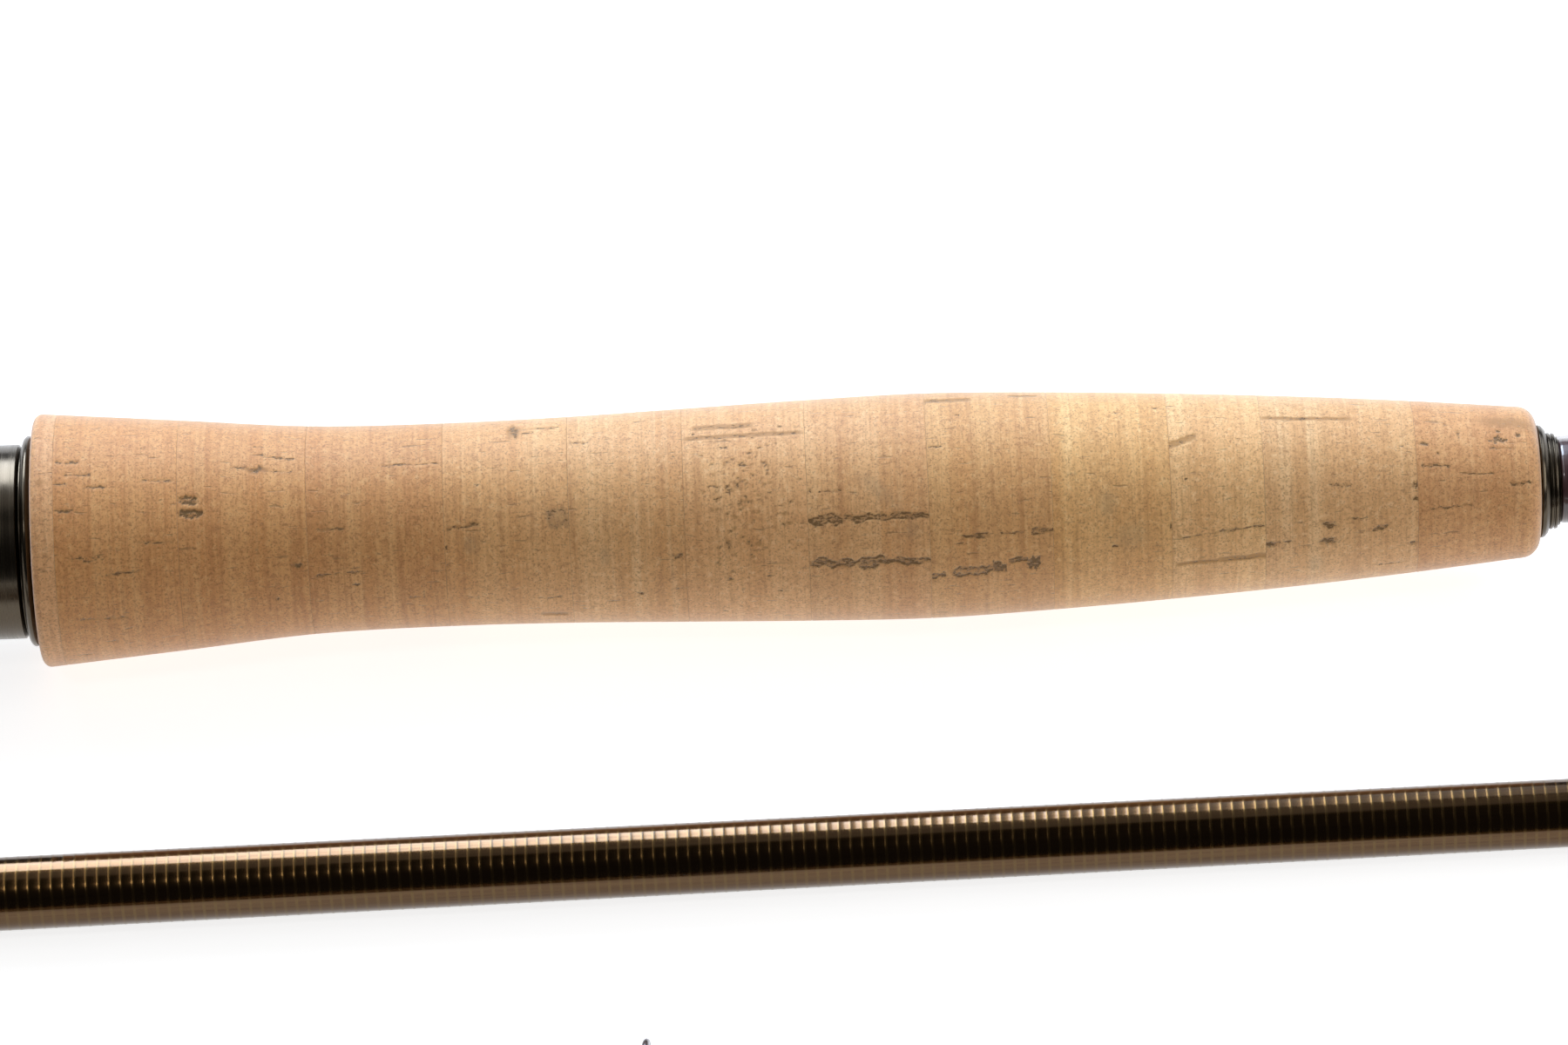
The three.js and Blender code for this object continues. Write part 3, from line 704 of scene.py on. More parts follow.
# The pits, cracks and stains of each ring that can be told apart: the kind, where it starts and ends
# along the ring, its angle from FACING in degrees, its width, and how far it climbs, if it does.
MARKS = {
    1: [("stain_red", 0.6, 1.5, 27, 0.9)],
    2: [("crack", 0.1, 2.8, 38, 1), ("spot", 1.1, 1.6, 31, 0.6), ("line", 1.5, 4, 31, 0.7),
        ("line", 0, 1.6, 26, 0.8), ("crack", 3, 5.5, 24.5, 0.7), ("crack", 0, 2.7, 13, 0.9),
        ("line", 8.6, 12.4, 28, 0.7), ("line", 8.1, 12.4, -3, 0.7), ("crack", 1.5, 5.2, -9, 0.8, -0.1),
        ("line", 4.8, 9, -17, 0.7, 0.3), ("line", 1.8, 7.3, -41, 0.6, -0.3), ("line", 1.3, 3, -69, 0.6)],
    3: [("pit", 0.1, 2.2, 17.5, 1.1), ("pit", 0.1, 2.7, 10.5, 1.3), ("crack", 7.3, 12.2, 44, 0.9, -0.5),
        ("line", 5.2, 7.4, 36, 0.8, -0.1), ("rust", 6.7, 9.5, 35, 1, -0.1), ("line", 9, 11.8, 34, 0.7),
        ("blotch", 10.9, 12.9, -19, 0.9), ("spot", 9.4, 10, -39, 0.7)],
    4: [("line", 7.4, 13.9, 37, 0.7), ("line", 0.5, 4, 0, 0.7), ("line", 0.3, 5.9, -25.5, 0.7, 0.2),
        ("line", 11.2, 11.6, -37, 1.4, -2.4), ("line", 12.2, 12.4, -38, 1.8, -2.2)],
    5: [("knot", 6.4, 8.1, 62, 3.6), ("line", 8, 12.2, 64, 0.9, 0.3), ("line", 8, 9.6, 59, 0.8, 0.2),
        ("patch", 10.4, 12.7, 1, 2.1), ("crack", 0.1, 3.8, -1.5, 0.8, 0.4), ("spot", 1.2, 1.7, -2, 0.7),
        ("spot", 0, 0.3, -13, 0.8), ("spot", 0, 0.3, -24, 0.9), ("stain", 1.8, 3.4, -12, 2.2),
        ("line", 10, 11.8, -48, 0.6, 0.2), ("groove", 9.3, 12.2, -65, 0.8)],
    6: [("line", 0.1, 2.3, 47.5, 0.8), ("spot", 1.4, 2, 47, 0.7), ("stain", 2.8, 4.2, -21, 2.2),
        ("blotch", 10, 11.7, -22, 0.8), ("spot", 6.4, 7.4, -46, 0.6), ("line", 10, 11.7, -43, 0.6)],
    7: [("groove", -0.2, 12.6, 45, 0.7, -0.1), ("groove", 0.9, 7.5, 53, 1),
        ("blotch", 3.9, 4.9, -17, 1.4), ("line", 9, 10.4, -46, 0.6)],
    8: [("ragged", -0.3, 3.7, -5.5, 1.4, 0.1), ("ragged", 3.3, 12.9, -5, 1.1),
        ("ragged", -0.3, 12.9, -28.5, 1.6, 0.1), ("spot", 0, 0.6, 10.5, 0.8),
        ("line", 1.1, 3.6, 9.5, 0.6), ("stain", 5.3, 9.2, 9, 2.2, -3.2), ("stain", 9.7, 11.3, -12, 2.4)],
    9: [("ragged", 0, 1.6, -38, 1.2), ("knotted", 2, 6.5, -36, 1.6, 0.2),
        ("curl", 6.2, 7.7, -34.5, 2, -0.5), ("ragged", 7.8, 9.9, -31, 0.9, 0.1),
        ("curl", 9.6, 11.2, -33.5, 1.8), ("ragged", 3, 6.1, -16.5, 0.8), ("line", 6.6, 10, -16, 0.7),
        ("ragged", 10.2, 12.8, -16, 1.1), ("groove", -0.2, 4.9, 68, 1.1), ("groove", 8.5, 11.7, 74, 0.8),
        ("line", 0, 1.7, 31, 0.7)],
    10: [("stain", 5.8, 10, -21, 3.2, 0.4), ("stain", 4.6, 6.6, -3, 3), ("spot", 5.7, 6.8, -26.5, 0.5),
         ("blotch", 11.7, 12.1, -16, 1.2)],
    11: [("groove", -0.2, 2.9, 32, 1, 1.2), ("line", 0.1, 9.8, -22, 0.7, 0.9),
         ("groove", 0.2, 5, -41, 0.5, 0.2), ("groove", 4.6, 9.8, -40.2, 0.8, 0.1)],
    12: [("groove", -0.2, 9.5, 49.5, 0.6), ("spot", -0.9, 1.5, -32, 1.1), ("line", 1.2, 2.8, -31.5, 0.7),
         ("spot", 5.2, 7.7, -22, 1.2, -0.3), ("spot", 4.8, 7.8, -33, 1.2),
         ("spot", 10.4, 13, -26.5, 0.9, 0.5), ("spot", 14.4, 15.6, -40.5, 0.9),
         ("line", 6.4, 9, 2.5, 0.9, -0.2), ("line", 8, 10.7, -19, 0.6), ("stain", 4.3, 5.9, -51, 2.6),
         ("spot", 14.7, 16.1, 1, 1.1), ("spot", 14.7, 16.1, -8.5, 0.7), ("line", 11.3, 14.5, -59, 0.7)],
    13: [("crack", 0.9, 5.7, -15, 0.9, 0.2), ("line", 0.3, 3.5, 13.5, 0.8),
         ("spot", 0.1, 1.6, 29.5, 0.7, -0.4), ("spot", 2, 2.5, 22, 0.7), ("spot", 4.2, 4.7, 37, 1.3),
         ("curl", 7.9, 9.1, 33, 1), ("line", 7.2, 9.6, 33, 0.6), ("smear", 6.8, 12.4, 51, 1.8, -0.2),
         ("spot", 8.2, 8.9, 41, 0.6), ("spot", 10.2, 11, 38, 0.8), ("line", 7.4, 10.3, 26, 0.8),
         ("crack", 9.2, 12.1, -1, 0.9), ("line", 5, 8, 7, 0.6)],
}


def mark_kind(dark, deep, wander, shape="streak", ochre=0, cool=0, **more):
    """What a kind of mark does: how dark it is, how deep in millimetres, how much it wanders, and how
    strong its two stains are. A streak is blunt, and may have its own thickness and edge. A lens is
    pointed at both ends. Lace is two wandering strands, some way apart, with a fill between them. An
    outline is darkest at its rim, and a cloud has no edge."""
    return {"dark": dark, "deep": deep, "wander": wander, "shape": shape, "ochre": ochre, "cool": cool,
            **more}


KINDS = {
    "line": mark_kind(0.66, 0.03, 0.12),
    "crack": mark_kind(0.7, 0.05, 0.2),
    "ragged": mark_kind(0.76, 0.05, 0.1, "lace", apart=0.42, fill=0.75),
    "knotted": mark_kind(0.74, 0.04, 0.1, "lace", apart=0.55, fill=0.6),
    "curl": mark_kind(0.84, 0.06, 0.15, "lace", apart=0.45, fill=0.85),
    "pit": mark_kind(0.92, 0.12, 0.1, "lace", apart=0.4, fill=0.6),
    "groove": mark_kind(0.4, 0.05, 0.12, thick=1.0, edge=2.5, ochre=0.85),
    "blotch": mark_kind(0.72, 0.05, 0.3, "lens"),
    "fleck": mark_kind(0.6, 0.03, 0.3, "lens", ochre=0.5),
    "spot": mark_kind(0.72, 0.06, 0.15, "lens"),
    "rust": mark_kind(0.55, 0.05, 0.3, "lens", ochre=1.0),
    "knot": mark_kind(0.55, 0.05, 0.15, "lens", ochre=0.9),
    "patch": mark_kind(0.5, 0.02, 0.2, "outline", cool=0.3),
    "smear": mark_kind(0.3, 0, 0.1, "cloud", ochre=0.6, cool=0.3),
    "stain": mark_kind(0, 0, 0, "cloud", cool=0.25),
    "stain_red": mark_kind(0.35, 0, 0, "cloud", ochre=0.7),
}


def grip_stations():
    """The grip's side as distances along the section and radii, from the cork rings' edges."""
    found = []
    for number in range(2, CORK_RINGS + 1):
        points = BUTT.local(f"cork_ring_{number:02d}")
        radii = np.hypot(points[:, 1], points[:, 2])
        start = points[:, 0].min()
        found.append((start, radii[points[:, 0] < start + 0.01].max()))
    points = BUTT.local(f"cork_ring_{CORK_RINGS:02d}")
    end = points[:, 0].max()
    radii = np.hypot(points[:, 1], points[:, 2])
    shoulder = end - FRONT_ROUNDING
    found.append((shoulder, radii[np.abs(points[:, 0] - shoulder) < 0.1].max()))
    start = BUTT.span("cork_ring_01")[0]
    slope = (found[1][1] - found[0][1]) / (found[1][0] - found[0][0])
    found.insert(0, (start, found[0][1] + slope * (start - found[0][0])))
    slope = (found[-1][1] - found[-2][1]) / (found[-1][0] - found[-2][0])
    found.append((end, found[-1][1] + slope * (end - shoulder)))
    return np.array(found)


GRIP = grip_stations()


def grip_radius(x):
    """The grip's radius at x: a smooth curve through the stations, with a quarter-round at each end."""
    at, radii = GRIP[:, 0], GRIP[:, 1]
    slopes = np.gradient(radii, at)
    i = np.clip(np.searchsorted(at, x) - 1, 0, len(at) - 2)
    width = at[i + 1] - at[i]
    t = (x - at[i]) / width
    side = (radii[i] * (1 + 2 * t) * (1 - t) ** 2 + radii[i + 1] * t ** 2 * (3 - 2 * t)
            + width * (slopes[i] * t * (1 - t) ** 2 - slopes[i + 1] * t ** 2 * (1 - t)))

    def rounded_off(depth, rounding):
        inside = np.clip(rounding - depth, 0, rounding)
        return rounding - np.sqrt(rounding ** 2 - inside ** 2)

    return side - rounded_off(x - at[0], REAR_ROUNDING) - rounded_off(at[-1] - x, FRONT_ROUNDING)


def wandering(draw, places, knots=17):
    """A line that wanders between -1 and 1 over places from -1.2 to 1.2."""
    return np.interp(places, np.linspace(-1.2, 1.2, knots), draw.uniform(-1, 1, knots))


def apart(turn, angle):
    """How far round it is from an angle, between minus and plus half a turn."""
    return (turn - angle + math.pi) % TAU - math.pi


def add_mark(fields, draw, x, turn, r, name, start, end, angle, width, climb=0):
    """Lays one pit, crack or stain on a ring's fields. x is the distance from the ring's start."""
    kind = KINDS[name]
    along = (x - (start + end) / 2) / ((end - start) / 2)
    across = apart(turn, FACING + math.radians(angle)) * r - climb * along / 2
    across = across - kind["wander"] * width * wandering(draw, along)
    across = across / (width / 2)
    shape = kind["shape"]
    if shape == "cloud":
        cover = np.exp(-1.6 * (along ** 2 + across ** 2))
    elif shape == "lens":
        cover = np.clip(1.6 * (1 - np.hypot(along, across)), 0, 1)
    elif shape == "lace":
        knots = max(5, round((end - start) / 0.5))
        apart_by = kind["apart"]
        closing = np.sqrt(np.clip(1 - along ** 4, 0, 1))
        strands = [closing * (hand * apart_by + (0.9 - apart_by) * wandering(draw, along, knots=knots))
                   for hand in (-1, 1)]
        near = np.minimum(np.abs(across - strands[0]), np.abs(across - strands[1]))
        between = (across > np.minimum(*strands)) & (across < np.maximum(*strands))
        ends = np.clip(8 * (1 - np.abs(along)), 0, 1)
        cover = np.clip(np.maximum(1.35 - near / 0.28, kind["fill"] * between), 0, 1) * ends
    elif shape == "outline":
        out = (along ** 4 + across ** 4) ** 0.25
        cover = np.clip(np.maximum(1.3 - np.abs(out - 0.75) / 0.25, 0.5 * (out < 0.75)), 0, 1)
    else:
        ends = np.clip(6 * (1 - np.abs(along)), 0, 1)
        thick = kind.get("thick", 0.55 + 0.45 * wandering(draw, along))
        edge = kind.get("edge", 1.25)
        cover = np.clip(edge * (1 - np.abs(across) / np.maximum(thick, 0.2)), 0, 1) * ends
    fields["crack"] = np.maximum(fields["crack"], cover * kind["dark"])
    fields["depth"] = np.maximum(fields["depth"], np.clip(2 * cover - 0.6, 0, 1) * kind["deep"])
    soft = np.minimum(1, cover * 1.6)
    for stain in ("ochre", "cool"):
        fields[f"{stain}_stain"] = np.maximum(fields[f"{stain}_stain"], soft * kind[stain])


def stray_marks(draw, length):
    """Marks for the sides of a ring that the list leaves out, and a few small ones all round."""
    marks = []
    share = length / USUAL_RING
    for _ in range(round(LONG_STRAYS * share)):
        name = draw.choice(["line", "line", "crack", "ragged", "spot", "groove"])
        size = float(draw.uniform(1.2, 7)) if name != "spot" else float(draw.uniform(0.8, 2.2))
        size = min(size, length * 0.9)
        start = float(draw.uniform(0, length - size))
        angle = float(draw.uniform(95, 265))
        marks.append((name, start, start + size, angle, float(draw.uniform(0.6, 1.1)),
                      float(draw.uniform(-0.3, 0.3))))
    for _ in range(round(SHORT_STRAYS * share)):
        size = float(draw.uniform(0.4, 1.2))
        start = float(draw.uniform(0, length - size))
        angle = float(draw.uniform(-180, 180))
        marks.append(("line", start, start + size, angle, float(draw.uniform(0.5, 0.7))))
    return marks


def speckled_marks(draw, length):
    """A ring of coarser cork: many small flecks on the side that shows."""
    marks = []
    for _ in range(FLECKS):
        size = float(draw.uniform(0.3, 0.9))
        start = float(draw.triangular(0.5, length * 0.45, length - size))
        angle = float(draw.normal(8, 21))
        marks.append(("fleck", start, start + size, angle, float(draw.uniform(0.3, 0.6))))
    return marks


def add_cork_ring(number):
    node = f"cork_ring_{number:02d}"
    x0, x1 = BUTT.span(node)
    if number > 1:
        x0 = BUTT.span(f"cork_ring_{number - 1:02d}")[1] + GLUE_LINE
    length = x1 - x0
    points = BUTT.local(node)
    bore = float(np.hypot(points[:, 1], points[:, 2]).min())
    draw = np.random.default_rng(CORK_SEED + number)
    stations = np.linspace(x0, x1, round(length / CORK_STEP) + 1)
    stations = np.concatenate([stations, [x0 + SEAM_WIDTH, x1 - SEAM_WIDTH]])
    if number in (1, CORK_RINGS):
        rounding = REAR_ROUNDING if number == 1 else FRONT_ROUNDING
        arc = rounding * (1 - np.cos(np.linspace(0, math.pi / 2, 12)))[1:]
        arc = x0 + arc if number == 1 else x1 - arc
        stations = np.concatenate([stations, arc])
    stations = np.unique(np.round(stations, 4))
    turn = (np.arange(CORK_SEGMENTS) * TAU / CORK_SEGMENTS)[None, :]
    x = stations[:, None] + 0 * turn
    turn = turn + 0 * x
    side = grip_radius(stations)[:, None] + 0 * turn

    fields = {key: np.zeros_like(x) for key in ("crack", "depth", "ochre_stain", "cool_stain")}
    marks = MARKS[number] + stray_marks(draw, length)
    if number == SPECKLED_RING:
        marks += speckled_marks(draw, length)
    for mark in marks:
        add_mark(fields, draw, x - x0, turn, side, *mark)
    edge = np.minimum(x - x0, x1 - x)
    broken = 0.5 + 0.5 * wandering(draw, apart(turn, 0) / math.pi, knots=41)
    seam = np.clip(1 - edge / SEAM_WIDTH, 0, 1) * (0.08 + 0.45 * broken)
    at_end = ((number == 1) & (x - x0 < length / 2)) | ((number == CORK_RINGS) & (x1 - x < length / 2))
    seam = np.where(at_end, 0, seam)

    r = side - fields["depth"] - SEAM_DEPTH * (seam > 0)
    inner = np.full((1, CORK_SEGMENTS), bore)
    rows_x = np.vstack([np.full_like(inner, x0), x, np.full_like(inner, x1)])
    rows_r = np.vstack([inner, r, inner])
    rows_turn = np.vstack([turn[:1], turn, turn[:1]])
    vertices = np.stack([rows_x, rows_r * np.sin(rows_turn), rows_r * np.cos(rows_turn)], axis=-1)
    faces = grid_faces(len(rows_x), CORK_SEGMENTS, True)
    obj = mesh_object(f"grip_cork_{number:02d}", vertices.reshape(-1, 3), faces, 50)

    fields["seam"] = seam
    del fields["depth"]
    for key, values in fields.items():
        float_attribute(obj, key, np.vstack([values[:1], values, values[-1:]]).ravel())
    tints = np.tile(np.float32(RING_TINTS[number - 1]), len(obj.data.vertices))
    obj.data.attributes.new("ring_tint", "FLOAT_VECTOR", "POINT").data.foreach_set("vector", tints)
    place(obj, BUTT, CORK, "cork", [node])


# ---- winding check and blanks ------------------------------------------------------------------------

RIDGE = {"pitch": 1.16, "height": 0.014, "foot": 0.17}


def add_winding_check():
    """The turned collar where the cork ends: a flared flange, then a step with two ribs."""
    x0, x1 = BUTT.span("winding_check")
    flange = BUTT.radius("winding_check")
    points = BUTT.local("winding_check")
    bore = float(np.hypot(points[:, 1], points[:, 2]).min())
    steps = [(0, 0.25), (0.14, 0), (0.5, 0.1), (0.85, 0.5), (0.9, 1), (0.98, 1), (1.08, 0.86),
             (1.32, 0.86), (1.4, 1.04), (1.48, 1.04), (1.56, 0.88), (1.8, 0.93), (1.9, 1.2), (1.94, 1.3)]
    outside = rounded(
        from_corner(x0, flange, steps) + from_corner(x1, flange, [(-0.04, 1.24), (0, 1.3)]),
        {1: 0.12, 2: 0.35, 3: 0.15, 6: 0.08, 7: 0.08, 10: 0.08, 11: 0.1})
    obj = turned("check_collar", outside + [(x1, bore), (x0, bore)], 160)
    place(obj, BUTT, GUNMETAL, "seat_metal", ["winding_check"])


def add_blank(section, node, name, segments):
    """A tapered tube with the fine spiral ridge that the cellophane tape leaves as it cures."""
    x0, x1, _, _, bore0, bore1 = section.taper(node)
    pitch, foot = RIDGE["pitch"], RIDGE["foot"]
    turns = int((x1 - x0 - 2) / pitch)
    outside = [(x0, section.blank_radius(node, x0) - 0.15)]
    for i in range(turns):
        for part in (0, foot, pitch / 2, pitch - foot):
            x = x0 + 1 + i * pitch + part
            outside.append((x, section.blank_radius(node, x)))
    outside.append((x1, section.blank_radius(node, x1) - 0.1))
    first_radius = outside[1][1] + (outside[1][1] - outside[-1][1]) / (x1 - x0)
    outside.insert(1, (x0 + 0.2, first_radius))
    profile = outside + [(x1, bore1), (x0, bore0)]

    def crest(x):
        phase = (x - x0 - 1) / pitch
        return np.clip(1 - np.abs(phase - np.round(phase)) * pitch / foot, 0, 1)

    def ridged(x, r, turn):
        on_side = (r > bore0 * 1.01) & (x > x0 + 0.9) & (x < x1 - 0.5)
        return r + np.where(on_side, crest(x), 0) * RIDGE["height"]

    obj = turned(name, profile, segments, ridged, sharp_angle=30)
    values = np.repeat(crest(np.array([p[0] for p in profile])), segments)
    float_attribute(obj, "ridge", values)
    place(obj, section, BLANK, "blank", [node])


# ---- thread and guides -------------------------------------------------------------------------------

GLUE_GAP = 0.1                 # between a blank and what is bound to it
WRAP_THICKNESS = 0.25
FOOT_LENGTH = 10
GUIDE_LEAN = math.radians(6)
SECTION_LENGTH = 723


def over_foot(turn, radius, half_width, top):
    """The outline that hugs a blank of this radius and rises over a foot, as a radius for each turn."""
    corner = math.hypot(half_width, top)
    edge = math.atan2(half_width, top)
    leaves = edge + math.acos(min(1.0, radius / corner))
    off = np.abs(apart(turn, 0))
    flat = top / np.maximum(np.cos(off), 0.1)
    slope = radius / np.maximum(np.cos(leaves - off), 0.1)
    return np.where(off < edge, flat, np.where(off < leaves, slope, radius))


def add_wrap(section, name, node, blank, foot=None, segments=SMALL):
    """Thread wound round the blank, thick with epoxy in the middle and thin at the ends. foot is the
    width and thickness of a guide foot under it."""
    x0, x1 = section.span(node)
    middle_radius = section.blank_radius(blank, (x0 + x1) / 2)
    outer = middle_radius + GLUE_GAP + WRAP_THICKNESS
    radius = section.blank_radius(blank, x0) + 0.03
    lip, drop = 0.45, outer - radius - 0.03
    rise = [(x0 + lip * (1 - math.cos(t)), outer - drop * (1 - math.sin(t)))
            for t in np.linspace(0, math.pi / 2, 7)]
    fall = [(x1 - lip * (1 - math.cos(t)), outer - drop * (1 - math.sin(t)))
            for t in np.linspace(math.pi / 2, 0, 7)]
    middle = lines_between([rise[-1], fall[0]], 0.45)[1:-1]
    profile = rise + middle + fall + [(x1, radius), (x0, radius)]

    def hugging(x, r, turn):
        if foot is None:
            return r
        half_width, thickness = foot[0] / 2, foot[1]
        top = radius + thickness
        inner_outline = over_foot(turn, radius, half_width + GLUE_GAP, top)
        outer_outline = over_foot(turn, outer, half_width + GLUE_GAP + WRAP_THICKNESS,
                                  top + WRAP_THICKNESS)
        return np.where(r > radius + 0.01, outer_outline - (outer - r), inner_outline)

    obj = turned(name, profile, segments, hugging)
    place(obj, section, THREAD_WRAP, "thread_wrap", [node])


def guide_sizes(section, node):
    """A guide's ring centre, ring radius and wire, read from its CAD node."""
    points = section.local(node)
    reach = float(np.abs(points[:, 1]).max())
    sides = points[np.abs(points[:, 1]) > reach - 0.02]
    at = float(sides[:, 0].mean())
    end = points[points[:, 0] > points[:, 0].max() - 0.5]
    left, right = extent(end, 1)
    foot_low, foot_high = extent(end, 2)
    wire = (right - left) / 2
    return {
        "at": at, "wire": wire, "ring": reach - wire / 2, "height": float(sides[:, 2].mean()),
        "end": float(points[:, 0].max()), "foot_low": foot_low, "foot_high": foot_high,
    }


def add_wire_guide(section, prefix, number, blank):
    """One wire: along the blank, up, round the ring and back, so the foot is two wires side by side."""
    node = f"{prefix}_guide_{number}"
    size = guide_sizes(section, node)
    wire, ring, at, height = size["wire"], size["ring"], size["at"], size["height"]
    foot_z = (size["foot_low"] + size["foot_high"]) / 2
    foot_start = size["end"] - FOOT_LENGTH
    gap = wire * 0.5
    opening = math.asin(gap / ring)
    circle = leaning_ring(at, height, ring, GUIDE_LEAN, opening, TAU - opening, 40)
    base_x, base_z = circle[0][0], circle[0][2]

    def foot(hand):
        y = hand * gap
        points = [(size["end"], y, foot_z)]
        points += [(size["end"] - part, y, foot_z) for part in (0.6, 1.2, 2.5, 5, 7.5, 9)]
        points += [(foot_start + 0.4, y, foot_z), (foot_start - 0.1, y, foot_z + 0.12),
                   (foot_start - 0.5, y, foot_z + (base_z - foot_z) * 0.35),
                   (base_x + 0.25, y, foot_z + (base_z - foot_z) * 0.75)]
        return points

    path = np.array(foot(1) + circle + foot(-1)[::-1])
    from_end = np.minimum(np.arange(len(path)), np.arange(len(path))[::-1])
    flat = np.interp(from_end, [0, 1, 2, 5, 8, 10], [0.45, 0.7, 0.85, 1, 1, 1])
    thick = size["foot_high"] - size["foot_low"]
    heights = np.interp(from_end, [0, 1, 3, 7, 10, 12],
                        [0.3 * thick, 0.6 * thick, thick, thick, wire * 0.9, wire])
    parts = [swept(path, wire * flat, heights, 14, last_normal=(0, -1, 0))]
    obj = together(f"{prefix}_snake_{number}", parts)
    place(obj, section, WIRE, "guide_wire", [node])
    foot_size = (2 * wire, thick)
    add_wrap(section, f"{prefix}_guide_thread_{number}", f"{prefix}_guide_wrap_{number}", blank, foot_size)


def add_hook_keeper():
    """A wire loop bound to the blank at both ends."""
    points = BUTT.local("hook_keeper")
    x0, x1 = BUTT.span("hook_keeper")
    wire = float(np.abs(points[:, 1]).max() * 2)
    low, high = extent(points, 2)
    low, high = low + wire / 2, high - wire / 2
    rear = BUTT.span("hook_keeper_wrap_rear")[1] + 0.4
    front = BUTT.span("hook_keeper_wrap_front")[0] - 0.4
    length = front - rear
    spots = [(x0, low), ((x0 + rear) / 2, low), (rear - 0.5, low), (rear + length * 0.06, low + 0.15)]
    spots += [(rear + length * share, low + (high - low) * rise) for share, rise in
              ((0.16, 0.5), (0.3, 0.88), (0.5, 1.0), (0.7, 0.88), (0.84, 0.5))]
    spots += [(front - length * 0.06, low + 0.15), (front + 0.5, low), ((x1 + front) / 2, low), (x1, low)]
    path = smooth_path([(x, 0, z) for x, z in spots], 5)
    ends = np.minimum(np.arange(len(path)), np.arange(len(path))[::-1])
    sizes = wire * np.interp(ends, [0, 1, 4], [0.4, 0.75, 1])
    obj = together("keeper_loop", [swept(path, sizes, sizes, 16)])
    place(obj, BUTT, WIRE, "guide_wire", ["hook_keeper"])
    for end in ("rear", "front"):
        add_wrap(BUTT, f"keeper_thread_{end}", f"hook_keeper_wrap_{end}", "butt_blank", (wire, wire))


def add_stripping_guide():
    """The large guide nearest the reel: a hard ring in a frame with two legs to each of its feet."""
    ring_points = BUTT.local("stripping_guide_insert")
    frame_points = BUTT.local("stripping_guide")
    x0, x1 = BUTT.span("stripping_guide_insert")
    at, half_width = (x0 + x1) / 2, (x1 - x0) / 2
    centre = sum(extent(ring_points, 2)) / 2
    spread = np.hypot(ring_points[:, 1], ring_points[:, 2] - centre)
    ceramic_outer, ceramic_inner = float(spread.max()), float(spread.min())
    outer = float(frame_points[:, 2].max()) - centre
    inner = ceramic_outer + GLUE_GAP

    def round_ring(low, high, half, tip):
        """A ring's section, rounded on its outside."""
        points = [(at - half, low), (at - half, high - tip), (at - half + tip, high),
                  (at + half - tip, high), (at + half, high - tip), (at + half, low)]
        return rounded(points, {1: tip, 2: tip, 3: tip, 4: tip})

    frame_ring = round_ring(inner, outer, half_width, 0.3)
    waist = [(at - t * half_width, ceramic_inner + 0.35 * t ** 4) for t in np.linspace(-1, 1, 13)]
    ceramic = [(at - half_width, ceramic_outer), (at + half_width, ceramic_outer)] + waist
    obj = turned("stripper_ceramic", ceramic, 96, offset=centre)
    place(obj, BUTT, CERAMIC, "guide_ring", ["stripping_guide_insert"])

    ends = BUTT.span("stripping_guide")
    foot_points = frame_points[frame_points[:, 0] > ends[1] - 0.5]
    left, right = extent(foot_points, 1)
    foot_low, foot_high = extent(foot_points, 2)
    foot_width, foot_z, thick = right - left, (foot_low + foot_high) / 2, foot_high - foot_low
    ring = turned("stripper_ring", frame_ring, 96, offset=centre)
    parts = []
    for direction, end in ((-1, ends[0]), (1, ends[1])):
        foot_start = end - direction * 11
        tip_to_heel = [(end - direction * part, 0, foot_z) for part in (0, 0.8, 2, 4, 7, 9.5, 10.8, 11.4)]
        widths = foot_width * np.array([0.4, 0.62, 0.82, 0.95, 1, 1, 0.95, 0.7])
        heights = thick * np.array([0.35, 0.55, 0.8, 1, 1, 1, 1, 0.8])
        parts.append(swept(tip_to_heel, widths, heights, 16))
        for hand in (-1, 1):
            side = outer - 0.45
            top = (at + direction * 0.25, hand * side * 0.9, centre - side * 0.42)
            heel = (foot_start + direction * 0.9, hand * 0.5, foot_z)
            knee = (foot_start - direction * 1.2, hand * 0.85, foot_z + 0.55)
            middle = tuple((a + b) / 2 for a, b in zip(knee, top))
            bowed = (middle[0], middle[1] + hand * 0.5, middle[2] - 0.35)
            path = smooth_path([heel, knee, bowed, top], 6)
            share = np.linspace(0, 1, len(path))
            parts.append(swept(path, 1.15 - 0.2 * share, 0.7 + 0.15 * share, 12))
    frame = together("stripper_frame", parts)
    join_into(frame, ring)
    place(frame, BUTT, WIRE, "guide_wire", ["stripping_guide"])
    for end in ("rear", "front"):
        add_wrap(BUTT, f"stripper_thread_{end}", f"stripping_guide_wrap_{end}", "butt_blank",
                 (foot_width, thick))


def join_into(whole, part):
    """Adds another object's mesh to this one, and removes that object."""
    shape = bmesh.new()
    shape.from_mesh(whole.data)
    shape.from_mesh(part.data)
    shape.to_mesh(whole.data)
    shape.free()
    bpy.data.objects.remove(part)


